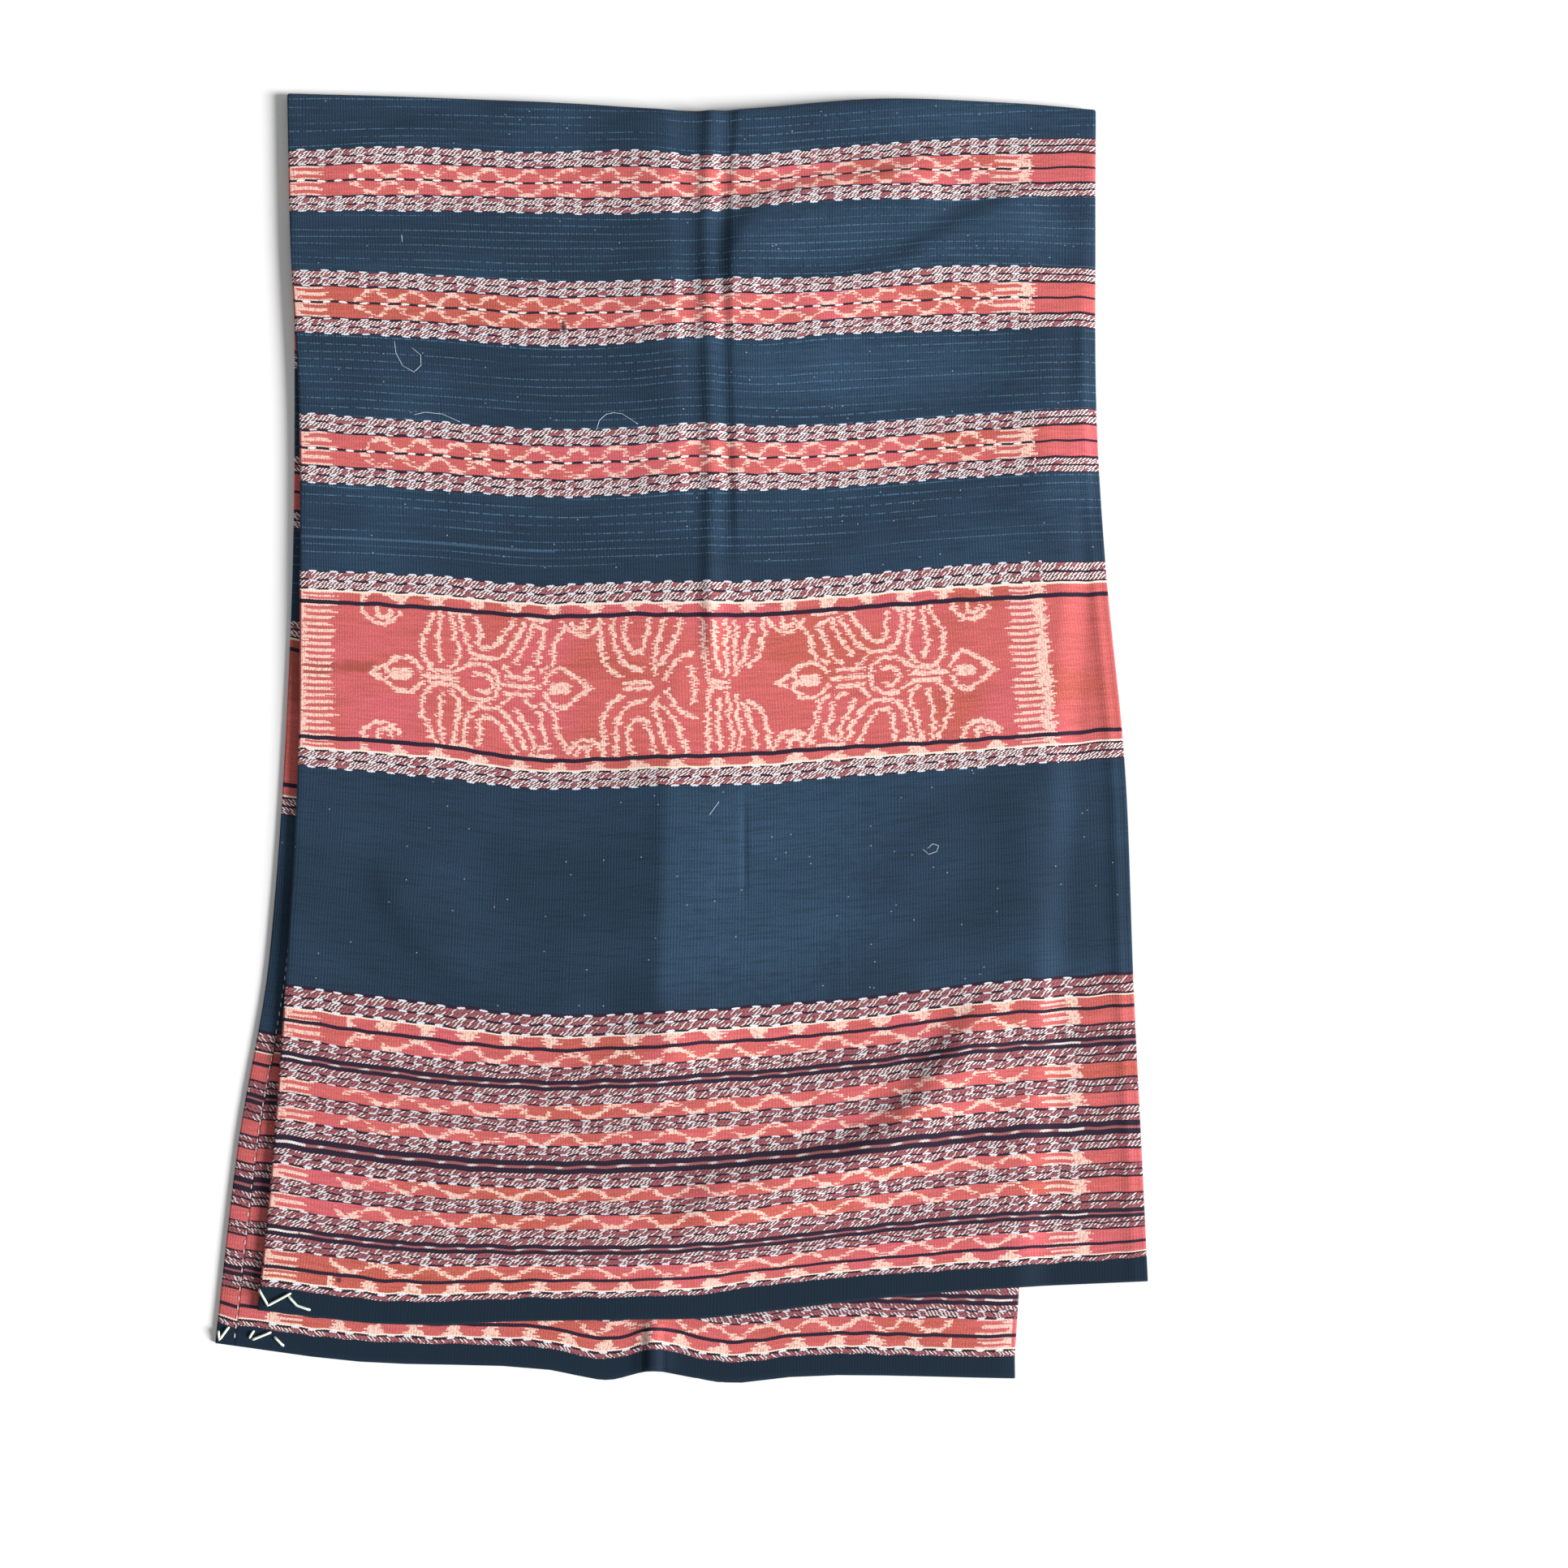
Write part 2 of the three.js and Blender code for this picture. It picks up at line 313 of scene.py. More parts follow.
def linear(name):
    """A colour of the table as scene-linear red, green, blue and alpha."""
    shares = [part / 255 for part in COLOURS[name]]
    low, slope, offset, power = 0.04045, 12.92, 0.055, 2.4
    return (*[s / slope if s <= low else ((s + offset) / (1 + offset)) ** power for s in shares], 1.0)


# Reading the tables


def smooth(places, values, at):
    """A smooth curve through a table's values, read at a place between its rows."""
    places = np.asarray(places, float)
    values = np.asarray(values, float)
    last = len(places) - 1
    row = np.clip(np.searchsorted(places, at, side="right") - 1, 0, last - 1)
    step = places[row + 1] - places[row]
    share = np.clip((at - places[row]) / step, 0, 1)
    before = np.maximum(np.arange(last + 1) - 1, 0)
    after = np.minimum(np.arange(last + 1) + 1, last)
    slope = (values[after] - values[before]) / (places[after] - places[before])
    rise = values[row + 1] - values[row]
    start = slope[row] * step
    end = slope[row + 1] * step
    bend = 3 * rise - 2 * start - end
    return values[row] + share * (start + share * (bend + share * (start + end - 2 * rise)))


def line_places(across):
    """For each place across, how far down each line of the front half lies."""
    return np.array([smooth(LINES_ACROSS, row, across) for row in LINES.values()])


def down_of(v, across):
    """How far down the front half's cloth lies at v."""
    places = line_places(across)
    return np.array([np.interp(v, tuple(LINES), places[:, i]) for i in range(len(across))])


def v_of(down, across):
    """The v of the front half's cloth that lies so far down."""
    places = line_places(across)[::-1]
    lines = tuple(LINES)[::-1]
    return np.array([np.interp(down[i], places[:, i], lines) for i in range(len(across))])


def folded_edge(across):
    return smooth(FOLDED_EDGE["across"], FOLDED_EDGE["down"], across) + MID_PLANE_HEIGHT


# The folds


def from_line(start, end, x, y):
    """How far places lie from the nearest point of a straight line, along x and along y."""
    run_x, run_y = np.subtract(end, start)
    along = ((x - start[0]) * run_x + (y - start[1]) * run_y) / (run_x**2 + run_y**2)
    along = np.clip(along, 0, 1)
    return x - start[0] - along * run_x, y - start[1] - along * run_y


def from_route(route, x, down):
    """The distance from a place on the cloth to a route of straight lines."""
    return np.min([np.hypot(*from_line(*ends, x, down)) for ends in zip(route, route[1:])], axis=0)


def away_from(route, u, v):
    """The distance to a route, how far a place is on its right as it runs, and how far from its ends."""
    nearest = np.full(np.shape(u), np.inf)
    side = np.zeros(np.shape(u))
    for start, end in zip(route, route[1:]):
        away_u, away_v = from_line(start, end, u, v)
        away = np.hypot(away_u, away_v) + TINY
        run_u, run_v = np.subtract(end, start)
        to_right = (away_u * run_v - away_v * run_u) / (away * np.hypot(run_u, run_v))
        side = np.where(away < nearest, to_right, side)
        nearest = np.minimum(nearest, away)
    fade = np.ones(np.shape(u))
    reach = min(FADE, FADE_SHARE * float(np.hypot(*np.subtract(route[-1], route[0]))))
    for (end_u, end_v), (next_u, next_v) in ((route[0], route[1]), (route[-1], route[-2])):
        if EDGE_ZONE < end_v < LAST_ROW:
            run_u, run_v = next_u - end_u, next_v - end_v
            fade *= eased(((u - end_u) * run_u + (v - end_v) * run_v) / np.hypot(run_u, run_v) / reach)
    return nearest, eased(0.5 + side * SIDE_BLEND), fade


def eased(share):
    """Goes smoothly from 0 to 1."""
    share = np.clip(share, 0, 1)
    return share * share * (3 - 2 * share)


def front_relief(u, v, x, down, on_face):
    """How much higher the front half lies than if it were flat on the rear half."""
    height = np.zeros(np.shape(x))
    for fold in FRONT_FOLDS.values():
        if on_face or not fold.face_only:
            away, on_right, fade = away_from(fold.route, u, v)
            reach = fold.left_reach + on_right * (fold.right_reach - fold.left_reach)
            height += fold.height * fade * np.exp(-((away / reach) ** fold.crest))
    height *= HEM_SHARE + (1 - HEM_SHARE) * eased(v / HEM_REACH)
    past_rear = x - side_edges(REAR_SIDES, down)[1]
    return height - FALL_HEIGHT * eased((past_rear - FALL_START) / FALL_RUN)


# The figures of the wide band


def placed(strokes, centre, way):
    """Strokes of a figure moved to their place in u and v, above and below the middle line."""
    for stroke in strokes:
        for side in (1, -1):
            yield [(centre + way * x, WIDE_MIDDLE + side * y) for x, y in stroke]


def figure_strokes():
    """Every stroke of the wide band with half its thickness."""
    strokes = []
    for centre, way in SIDE_FIGURES:
        strokes += [(s, STROKE) for s in placed(PETALS + HEART, centre, way)]
        strokes += [(s, STROKE) for s in placed(SPADES, centre, 1)]
        strokes += [(s, SPADE_HEART_STROKE) for s in placed(SPADE_HEARTS, centre, 1)]
        strokes.append(([(centre + x, WIDE_MIDDLE + y) for x, y in SPIRAL[0]], STROKE))
    for centre, way, half in MIDDLE_HALVES:
        strokes += [(s, STROKE) for s in placed(half, centre, way)]
    for centre, way in ROSETTES:
        strokes += [(s, STROKE) for s in placed(ROSETTE, centre, way)]
    return strokes


def figure_field(u, v):
    """The distance from each place to the edge of the nearest stroke, and how it grows with u."""
    nearest = np.full(np.shape(u), FAR)
    growth = np.zeros(np.shape(u))
    for stroke, half_thickness in figure_strokes():
        for start, end in zip(stroke, stroke[1:]):
            away_u, away_v = from_line(start, end, u, v)
            away = np.hypot(away_u, away_v) + TINY
            closer = away - half_thickness < nearest
            nearest = np.where(closer, away - half_thickness, nearest)
            growth = np.where(closer, away_u / away, growth)
    return nearest, growth


# The cloth's mesh


# One turn around the tube: each column's number, its place across, its turn around the side fold and u
Ring = namedtuple("Ring", "numbers across turn u")
# A ring's points in space, their u and v, the half and skin it belongs to, and where the figures are
Row = namedtuple("Row", "numbers points u v part figures")


def columns(front, back):
    """A ring with some of the lattice's columns on face F and some on face B."""
    points = [(k, k / LATTICE, 0.0, HALF_WIDTH * k / LATTICE) for k in front]
    for step in range(1, ARC_STEPS):
        turn = pi * step / ARC_STEPS
        points.append((FACE_STRIDE + step, 1.0, turn, HALF_WIDTH + turn * SIDE_FOLD_RADIUS))
    for k in reversed(back):
        u = HALF_WIDTH + FOLD_ARC + HALF_WIDTH * (1 - k / LATTICE)
        points.append((3 * FACE_STRIDE - k, k / LATTICE, pi, u))
    for step in range(1, ARC_STEPS):
        turn = pi * (1 + step / ARC_STEPS)
        points.append((4 * FACE_STRIDE + step, 0.0, turn, 2 * HALF_WIDTH + turn * SIDE_FOLD_RADIUS))
    numbers, *others = zip(*points)
    return Ring(numbers, *(np.array(values) for values in others))


def every(step, *dense):
    """Lattice columns at every so many steps, and all of those in the dense ranges."""
    found = set(range(0, LATTICE, step)) | {LATTICE}
    for part in dense:
        found |= set(part)
    return sorted(found)


BACK_HIDDEN = every(24, range(192, 226, 4))
BACK_SHOWN = every(8, range(194, 246, 2), range(208, 234))
RING_FINE = columns(every(1), BACK_HIDDEN)
RING_FRONT = columns(every(3, CREASED, EDGE_CREASED), BACK_HIDDEN)
RING_REAR = columns(every(12), BACK_SHOWN)
RING_INNER = columns(every(6, range(198, 222, 2)), BACK_HIDDEN)
RING_INNER_REAR = columns(every(12), BACK_HIDDEN)


def new_row(ring, points, v, part, figures=None):
    if figures is None:
        figures = np.tile((FAR, 0.0, 0.0), (len(ring.numbers), 1))
    return Row(ring.numbers, points, ring.u, v, part, figures)


def side_edges(sides, down):
    """Where the left and the right edge of a half lie."""
    return [smooth(sides["down"], sides[side], down) for side in ("left", "right")]


def place(ring, down, sides, offset):
    """Where the points of a turn lie across, and how high they are over the half's own middle plane."""
    radius = SIDE_FOLD_RADIUS + offset
    left, right = side_edges(sides, down)
    left, right = left + SIDE_FOLD_RADIUS, right - SIDE_FOLD_RADIUS
    x = left + ring.across * (right - left) + radius * np.sin(ring.turn)
    return x, LAYER_PITCH + radius * np.cos(ring.turn)


def front_points(ring, v, down, offset):
    x, height = place(ring, down, FRONT_SIDES, offset)
    u = HALF_WIDTH * ring.across
    shows = (ring.turn == 0) & (offset > 0)
    relief = np.where(shows, front_relief(u, v, x, down, True), front_relief(u, v, x, down, False))
    return np.column_stack((x, -down, MID_PLANE_HEIGHT + height + relief))


def front_row(ring, height, offset, part):
    """A turn around the front half at one v."""
    v = np.full(len(ring.numbers), float(height))
    figures = None
    if part == "front, outer" and FIELD_ROWS[0] <= height <= FIELD_ROWS[1]:
        on_face = ring.turn == 0
        away, growth = figure_field(ring.u, v)
        figures = np.column_stack((np.where(on_face, away, FAR), np.where(on_face, growth, 0), 0 * away))
    points = front_points(ring, v, down_of(height, ring.across), offset)
    return new_row(ring, points, v, part, figures)


def row_to_edge(ring, share, offset, part):
    """A turn between the last row at one v (share 0) and the start of the top fold (share 1)."""
    start = down_of(LAST_ROW, ring.across)
    down = start + share * (folded_edge(ring.across) - start)
    v = v_of(down, ring.across)
    return new_row(ring, front_points(ring, v, down, offset), v, part)


def top_row(ring, share, offset, part):
    """A turn around the top fold, from the front half (share 0) to the rear half (share 1)."""
    edge = folded_edge(ring.across)
    edge_v = v_of(edge, ring.across)
    front = front_points(ring, edge_v, edge, offset)
    height = place(ring, edge, FRONT_SIDES, offset)[1]
    lift = (front[:, 2] - MID_PLANE_HEIGHT - height) * (1 - share)
    y = -edge + height * sin(pi * share)
    z = MID_PLANE_HEIGHT + lift + height * cos(pi * share)
    run = LAYER_PITCH * pi * (0.5 - abs(share - 0.5))
    return new_row(ring, np.column_stack((front[:, 0], y, z)), edge_v + run, part)


def rear_row(ring, share, offset, part):
    """A turn around the rear half, from the top fold (share 0) to its hem (share 1)."""
    edge = folded_edge(ring.across)
    hem = smooth(REAR_HEM["across"], REAR_HEM["down"], ring.across)
    down = edge + share * (hem - edge)
    x, height = place(ring, down, REAR_SIDES, offset)
    pleat = np.zeros(len(x))
    for route, rise, reach in PLEATS:
        pleat += rise * np.exp(-((from_route(route, x, down) / reach) ** 2))
    pleat = np.where(ring.turn == pi, pleat, 0)
    points = np.column_stack((x, -down, MID_PLANE_HEIGHT - height + pleat))
    meets = v_of(edge, ring.across) - np.interp(hem - edge, REAR_LINES["up"], REAR_LINES["v"])
    v = np.interp(hem - down, REAR_LINES["up"], REAR_LINES["v"]) + meets * (1 - share)
    return new_row(ring, points, v, part)


def lip_row(outer, inner):
    """The rounded rim between the two skins at a hem."""
    keep = [outer.numbers.index(number) for number in inner.numbers]
    middle = (outer.points[keep] + inner.points) / 2
    past_hem = np.array((0, -LIP * CLOTH_THICKNESS, 0))
    return inner._replace(points=middle + past_hem, part=outer.part)


def skin(offset, name, ring_front, ring_rear, step, rear_rows):
    """The rows of one skin, from the front hem over the top fold to the rear hem."""
    front, rear = f"front, {name}", f"rear, {name}"
    low, high = FIELD_ROWS
    heights = set(HEM_ROWS) | set(np.arange(HEM_ROWS[-1] + step, LAST_ROW, step)) | {LAST_ROW}
    outer = name == "outer"
    if outer:
        heights = {v for v in heights if not low - step / 2 < v < high + step / 2}
        heights |= set(np.arange(low, high + FIELD_STEP / 2, FIELD_STEP))
    rows = []
    for v in sorted(heights):
        fine = outer and low <= v <= high
        rows.append(front_row(RING_FINE if fine else ring_front, v, offset, front))
    for i in range(1, ROWS_TO_EDGE):
        rows.append(row_to_edge(ring_front, i / ROWS_TO_EDGE, offset, front))
    for i in range(TOP_FOLD_ROWS):
        share = i / TOP_FOLD_ROWS
        rows.append(top_row(ring_front, share, offset, front if share < 0.5 else rear))
    shares = np.linspace(0, REAR_DENSE_FROM, rear_rows, endpoint=False)
    for share in (*shares, *np.linspace(REAR_DENSE_FROM, 1, REAR_DENSE_ROWS)):
        rows.append(rear_row(ring_rear, share, offset, rear))
    return rows


# Where each part of the cloth lies in the map that its colours can be baked into: left, bottom, width,
# height
SHEET_MAP = {
    ("front, outer", "F"): (0.005, 0.005, 0.64, 0.99),
    ("rear, outer", "B"): (0.655, 0.505, 0.335, 0.49),
    ("rear, outer", "F"): (0.655, 0.205, 0.335, 0.29),
    ("front, outer", "B"): (0.655, 0.005, 0.16, 0.19),
    ("front, inner", "F"): (0.825, 0.105, 0.08, 0.09),
    ("front, inner", "B"): (0.91, 0.105, 0.08, 0.09),
    ("rear, inner", "F"): (0.825, 0.005, 0.08, 0.09),
    ("rear, inner", "B"): (0.91, 0.005, 0.08, 0.09),
}
V_SPAN = 920.0


def add_strip(faces, maps, lower, upper, lower_start, upper_start):
    """Faces between two turns of the tube, one for each pair of neighbouring columns that both have."""
    spans = []
    for row, start in ((lower, lower_start), (upper, upper_start)):
        index = {number: i for i, number in enumerate(row.numbers)}
        index[TURN_END] = len(row.numbers)
        spans.append((row, start, index))
    common = sorted(set(spans[0][2]) & set(spans[1][2]))
    for left, right in zip(common, common[1:]):
        face = []
        corners = []
        for (row, start, index), backwards in zip(spans, (False, True)):
            places = range(index[left], index[right] + 1)
            for i in reversed(places) if backwards else places:
                wraps = i == len(row.numbers)
                face.append(start + (0 if wraps else i))
                corners.append((CIRCUMFERENCE if wraps else row.u[i], row.v[0 if wraps else i]))
        faces.append(face)
        half = "F" if right <= FACE_B_START else "B"
        part = upper.part if "inner" in lower.part or "inner" in upper.part else lower.part
        maps.append((corners, SHEET_MAP[part, half], half))


def cloth_mesh():
    """The whole tube as one closed mesh, with its maps of u and v and of the sheet, and its figures."""
    offset = CLOTH_THICKNESS / 2
    outer = skin(offset, "outer", RING_FRONT, RING_REAR, ROW_STEP, REAR_ROWS)
    inner = skin(-offset, "inner", RING_INNER, RING_INNER_REAR, INNER_ROW_STEP, REAR_ROWS // 2)
    rows = outer + [lip_row(outer[-1], inner[-1])] + inner[::-1] + [lip_row(outer[0], inner[0])]
    starts = np.cumsum([0] + [len(row.points) for row in rows])
    faces, maps = [], []
    for i, row in enumerate(rows):
        after = (i + 1) % len(rows)
        add_strip(faces, maps, row, rows[after], int(starts[i]), int(starts[after]))

    points = np.vstack([row.points for row in rows])
    shift = placed_on_cad(points)
    points += shift
    mesh = bpy.data.meshes.new("sarong_cloth")
    mesh.from_pydata((points * MM).tolist(), [], faces)
    weave = mesh.uv_layers.new(name="weave")
    baked = mesh.uv_layers.new(name="OFBake")
    weave_values, baked_values = [], []
    for corners, (left, bottom, width, height), half in maps:
        first_u = 0 if half == "F" else CIRCUMFERENCE / 2
        for u, v in corners:
            weave_values += (u * MM, v * MM)
            baked_values += (
                left + width * (u - first_u) / (CIRCUMFERENCE / 2),
                bottom + height * max(v, 0) / V_SPAN,
            )
    weave.data.foreach_set("uv", weave_values)
    baked.data.foreach_set("uv", baked_values)
    figures = mesh.attributes.new("figures", "FLOAT_VECTOR", "POINT")
    figures.data.foreach_set("vector", np.vstack([row.figures for row in rows]).ravel())
    mesh.validate()
    mesh.shade_smooth()
    return mesh, shift


def placed_on_cad(points):
    """The shift that brings the folded cloth to its place in the frame."""
    low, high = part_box("sarong_tube")
    return np.array((low.x / MM - points[:, 0].min(), high.y / MM - points[:, 1].max(), -points[:, 2].min()))


# Node graphs from plain sums


def connect(tree, node, inputs):
    """Links a node's inputs to fields and sockets, or sets them to values."""
    for key, value in inputs.items():
        if isinstance(value, Field):
            value = value.value
        if isinstance(value, bpy.types.NodeSocket):
            tree.links.new(value, node.inputs[key])
        else:
            node.inputs[key].default_value = value


def new_node(tree, kind, inputs, **settings):
    """A shader node of one kind with its settings and inputs."""
    node = tree.nodes.new("ShaderNode" + kind)
    for name, setting in settings.items():
        setattr(node, name, setting)
    connect(tree, node, inputs)
    return node


class Field:
    """A number that changes over the cloth. Each sum of fields adds a node to the shader."""

    def __init__(self, tree, value):
        self.tree = tree
        self.value = value

    def math(self, operation, *others):
        node = new_node(self.tree, "Math", dict(enumerate((self, *others))), operation=operation)
        return Field(self.tree, node.outputs[0])

    def __rsub__(self, other):
        return Field(self.tree, other) - self

    __add__ = partialmethod(math, "ADD")
    __sub__ = partialmethod(math, "SUBTRACT")
    __mul__ = partialmethod(math, "MULTIPLY")
    __truediv__ = partialmethod(math, "DIVIDE")
    __gt__ = partialmethod(math, "GREATER_THAN")
    __lt__ = partialmethod(math, "LESS_THAN")
    abs = partialmethod(math, "ABSOLUTE")
    floor = partialmethod(math, "FLOOR")
    fract = partialmethod(math, "FRACT")
    least = partialmethod(math, "MINIMUM")
    most = partialmethod(math, "MAXIMUM")

    def clamp(self, low, high):
        return self.most(low).least(high)

    def between(self, low, high):
        return (self > low) * (self < high)

    def wave(self, period):
        """A cosine of this period, from -1 to 1."""
        return (self * (2 * pi / period)).math("COSINE")

    def ramp(self, low, high):
        """Goes smoothly from 0 at low to 1 at high."""
        inputs = {"Value": self, "From Min": low, "From Max": high}
        node = new_node(self.tree, "MapRange", inputs, interpolation_type="SMOOTHSTEP")
        return Field(self.tree, node.outputs["Result"])


def pair(x, y):
    """Two fields as one vector."""
    return new_node(x.tree, "CombineXYZ", {0: x, 1: y}).outputs[0]


def noise(x, y, detail=0.0):
    """Smooth noise around 0.5, with a grain of about 1."""
    inputs = {"Vector": pair(x, y), "Scale": 1.0, "Detail": detail}
    node = new_node(x.tree, "TexNoise", inputs, noise_dimensions="2D")
    return Field(x.tree, node.outputs["Fac"])


def chance(x, y):
    """A number from 0 to 1 that is the same all over each whole-numbered cell."""
    inputs = {"Vector": pair(x.floor(), y.floor())}
    node = new_node(x.tree, "TexWhiteNoise", inputs, noise_dimensions="2D")
    return Field(x.tree, node.outputs["Value"])


def mixed(tree, mask, first, second):
    """One colour where the mask is 0 and the other where it is 1."""
    inputs = {"Factor": mask, "A": first, "B": second}
    return new_node(tree, "Mix", inputs, data_type="RGBA").outputs["Result"]


class Paint:
    """A colour of the cloth, to which others are added where a mask is 1."""

    def __init__(self, tree, name):
        self.tree = tree
        self.value = tree.nodes.new("ShaderNodeRGB").outputs[0]
        self.value.default_value = linear(name)

    def add(self, mask, colour):
        other = colour.value if isinstance(colour, Paint) else linear(colour)
        self.value = mixed(self.tree, mask, self.value, other)

    def shade(self, field):
        """Makes the colour lighter or darker by a factor."""
        node = new_node(self.tree, "VectorMath", {0: self.value, "Scale": field}, operation="SCALE")
        self.value = node.outputs[0]


# The weave

YARN = 1.1
RIB_PITCH = 2.0
RIB_WOBBLE = 0.16
SECTION_START = 606.0  # where the ikat section of face B starts
SECTION_MARGIN = 1.0
SEAM = 1189.3  # the upright seam, where the stripes of the two ends meet a little out of line
SEAM_SHIFT = 1.6
SEAM_WIDTH = 0.7
SEAM_SHADE = 0.5
GROUP_LONGER = 9.5  # the ikat of the stripes by the hem reaches so much further

# Noise over the cloth: how long its grain is along u and along v, or how much it changes from yarn to
# yarn, how strong it is, between which levels a tint grows to that strength, its detail and its start
Grain = namedtuple(
    "Grain",
    "length_u length_v per_yarn strength low high detail start",
    defaults=(0, 0, 1, 0, 1, 0, None),
)
GRAINS = {
    "rib": Grain(9, 60, strength=2.0),
    "slip": Grain(11, per_yarn=3.7, strength=7.5),
    "shared slip": Grain(50, 4, strength=3.0),
    "wobble": Grain(16, 50, strength=1.8),
    "patch edge": Grain(8, 5, strength=1.4, detail=2),
    "marled row": Grain(7, 7, strength=0.2),
    "maroon, red": Grain(1.6, 1.1, strength=0.7, low=0.45, high=0.7),
    "coral, brown": Grain(90, 45, strength=0.6, low=0.45, high=0.72, detail=1),
    "coral, pink": Grain(70, 60, strength=0.8, low=0.48, high=0.72, detail=1, start=(9, 3)),
    "coral yarn": Grain(20, per_yarn=5.3, strength=0.4),
    "frost": Grain(0.9, 1.2, strength=0.3, low=0.5, high=0.72, detail=1),
    "tie": Grain(1.8, per_yarn=4.1, strength=0.5, low=0.25, high=0.6),
    "indigo, worn and painted light": Grain(120, 80, strength=0.3, low=0.35, high=0.75, detail=2),
    "indigo, deep": Grain(25, per_yarn=2.3, strength=0.3, low=0.45, high=0.8),
    "indigo grain": Grain(0.9, 1.3, strength=0.7, detail=1),
    "indigo rib": Grain(4, 7, strength=0.3),
    "pinstripe sway": Grain(60, 9, strength=1.2),
    "pinstripe drift": Grain(400, 60, strength=6),
    "pin": Grain(9, 40, strength=7),
    "rib shade": Grain(6, 30, strength=0.14),
}
# Luck that changes in steps along a yarn: how long they are, how they shift from yarn to yarn, and a seed
JUMP = (18, 0.37, 0)
JUMP_REACH = 1.8
RAGGED = (3.3, 0.61, 40)
# How far the slip of the yarns and the ragged ends of their dye move a figure's edge
COMB_EDGE = (1.3, 3.0)
WEDGE_EDGE = (1.2, 2.0)
FIGURE_EDGE = 1.6
FIGURE_GAIN = 0.1

FLOAT_PITCH = 14.8
FLOAT_HALF = 3.1
FLOATS_END = 553.0
FLOAT_ROUNDS = (0.4, 0.34)  # the middle and the half height of a float, as shares of its stripe
FLOAT_LUCK = 0.2  # how far a float lies off its place, as a share of the pitch
FLOAT_STEP = 3.0
FLOAT_SEED = 7
FLOAT_NUDGE = 1.6

TWIST_PITCH = 2.9
TWIST_SLANT = 1.2
TWIST_SHIFT = 0.37  # how much further the twist is in the next row
TWIST_BEND = (4, 3.1, 1.4)  # the grain's length, its change from row to row and how far it bends a twist
MARLED_ROWS = 2
MARLED_RANGE = (0.01, MARLED_ROWS - 0.05)
MARLED_LINE = 0.2  # the share of a marled row that is its dark line
MARLED_FLOAT = 1.8  # how much flatter a float on that line is
PLIES = 2  # how many yarns a marled row has
# A twist's two dashes: where the first ends and where the second starts and ends, as shares of the
# pitch, how much luck adds to the first and takes off the second, and the gap below each in its ply
DASH_END, DASH_LUCK, DASH_GAP = 0.38, 0.1, 0.08
SECOND_DASH, SECOND_LUCK, SECOND_GAP = (0.58, 0.84), 0.2, 0.2
PINK_STRENGTH = 0.9
PINK_SHARE = 0.2  # the share of the dashes that stays pink
PINK_MORE = 0.25  # and how much larger it is by the hem
RED_BY_HEM = 0.18

NARROW_ZIGZAG = 29.6
GROUP_ZIGZAG = 36.5
ZIGZAG_HALF = 0.17  # half the height of the pale line, as a share of its stripe
ZIGZAG_RAGGED = 0.1
ZIGZAG_START = 2.0
ZIGZAG_TURN = 0.107  # how much further it is for each millimetre from the band's middle line
ZIGZAG_STEEP = 1.3
ZIGZAG_RANGE = (0.15, 0.85)
ZIGZAG_GAPS = (7, 1.9, 0.34)  # the grain's length, its change from yarn to yarn and the level of a gap
STEP = 2.2
COMB_SPINE = 2.5
COMB_TOOTH = 21.0
TOOTH_HALF = 0.24  # half a tooth, as a share of the pitch
FIELD_TOOTH_PITCH = 4.95
RIGHT_SPINE = (543.5, 552.5)
RIGHT_TOOTH = 18.0
FIGURED = (44.0, 524.0)
THIN_PITCH = 29.0
WEDGE = (7, 22)  # where a wedge of the thin stripes starts and ends
WEDGE_LEAN = 5  # and how far each end leans
TIE_STRENGTH = 0.56
YARN_GAP = 0.5  # how much fainter the tied places are at a yarn's edge
PIN_PITCH = 21.0
PIN_MIDDLE = 0.4
PIN_ROUND = 0.2
PIN_EDGE = (0.12, 0.26)
PIN_STRENGTH = 0.6
COMB_ZONE = 21.0
COMB_ZONE_STRENGTH = 0.75
CORAL_LIGHT = 0.8
INDIGO_LIGHT = 0.98
RIB_LIGHT = 0.98

PINSTRIPE_PITCH = 6.0
PINSTRIPE_SHARE = 0.13
PINSTRIPE_SHOWN = (110, 3.3, 5, 0.3, 0.62)  # grain along u and from line to line, start, low and high
PINSTRIPE_BEADS = (1.6, 7.1, 0.25, 0.6, 0.6)  # grain along u and from line to line, low, high, strength
WORN_LINE = (542.0, 1.2, 190.0, 0.35)  # its v, its half height, where it ends and how strong it is
WORN_CORE = 0.3  # the share of its height that is worn evenly
FLECK_SIZE = (0.9, 0.7)
FLECK_SHARE = 0.0005
FLECK_STRENGTH = 0.4

# Soft patches of another colour: how strong they are, and for each its centre in u and v and half sizes
PATCHES = {
    "stain": (0.6, ((38, 447, 26, 6), (10, 444, 16, 9), (1196, 478, 14, 34))),
    "coral, brown": (0.7, ((100, 22, 190, 28), (170, 96, 110, 30), (80, 720, 170, 24))),
    # the lighter indigo patches are painted light, on the flanks of the folds right of the middle that face
    # the lamp
    "indigo, worn and painted light": (
        0.3,
        ((460, 772, 150, 34), (440, 668, 130, 30), (500, 872, 110, 20), (350, 300, 75, 110)),
    ),
    "dark": (0.85, ((201, 709, 2.4, 5.5), (52, 23.5, 2.6, 2.2), (88, 52, 3.4, 3.0))),
}
PINK_PATCH = (66, 416, 34, 16)
PATCH_EDGE = 1.2

YARN_HEIGHT = 0.5
RIB_HEIGHT = 0.14
FIBRES = (1.7, 0.5)  # how many grains there are in a millimetre and how high they are
LENGTH_UNIT = 100.0  # lengths are shares of this in a ramp's colours


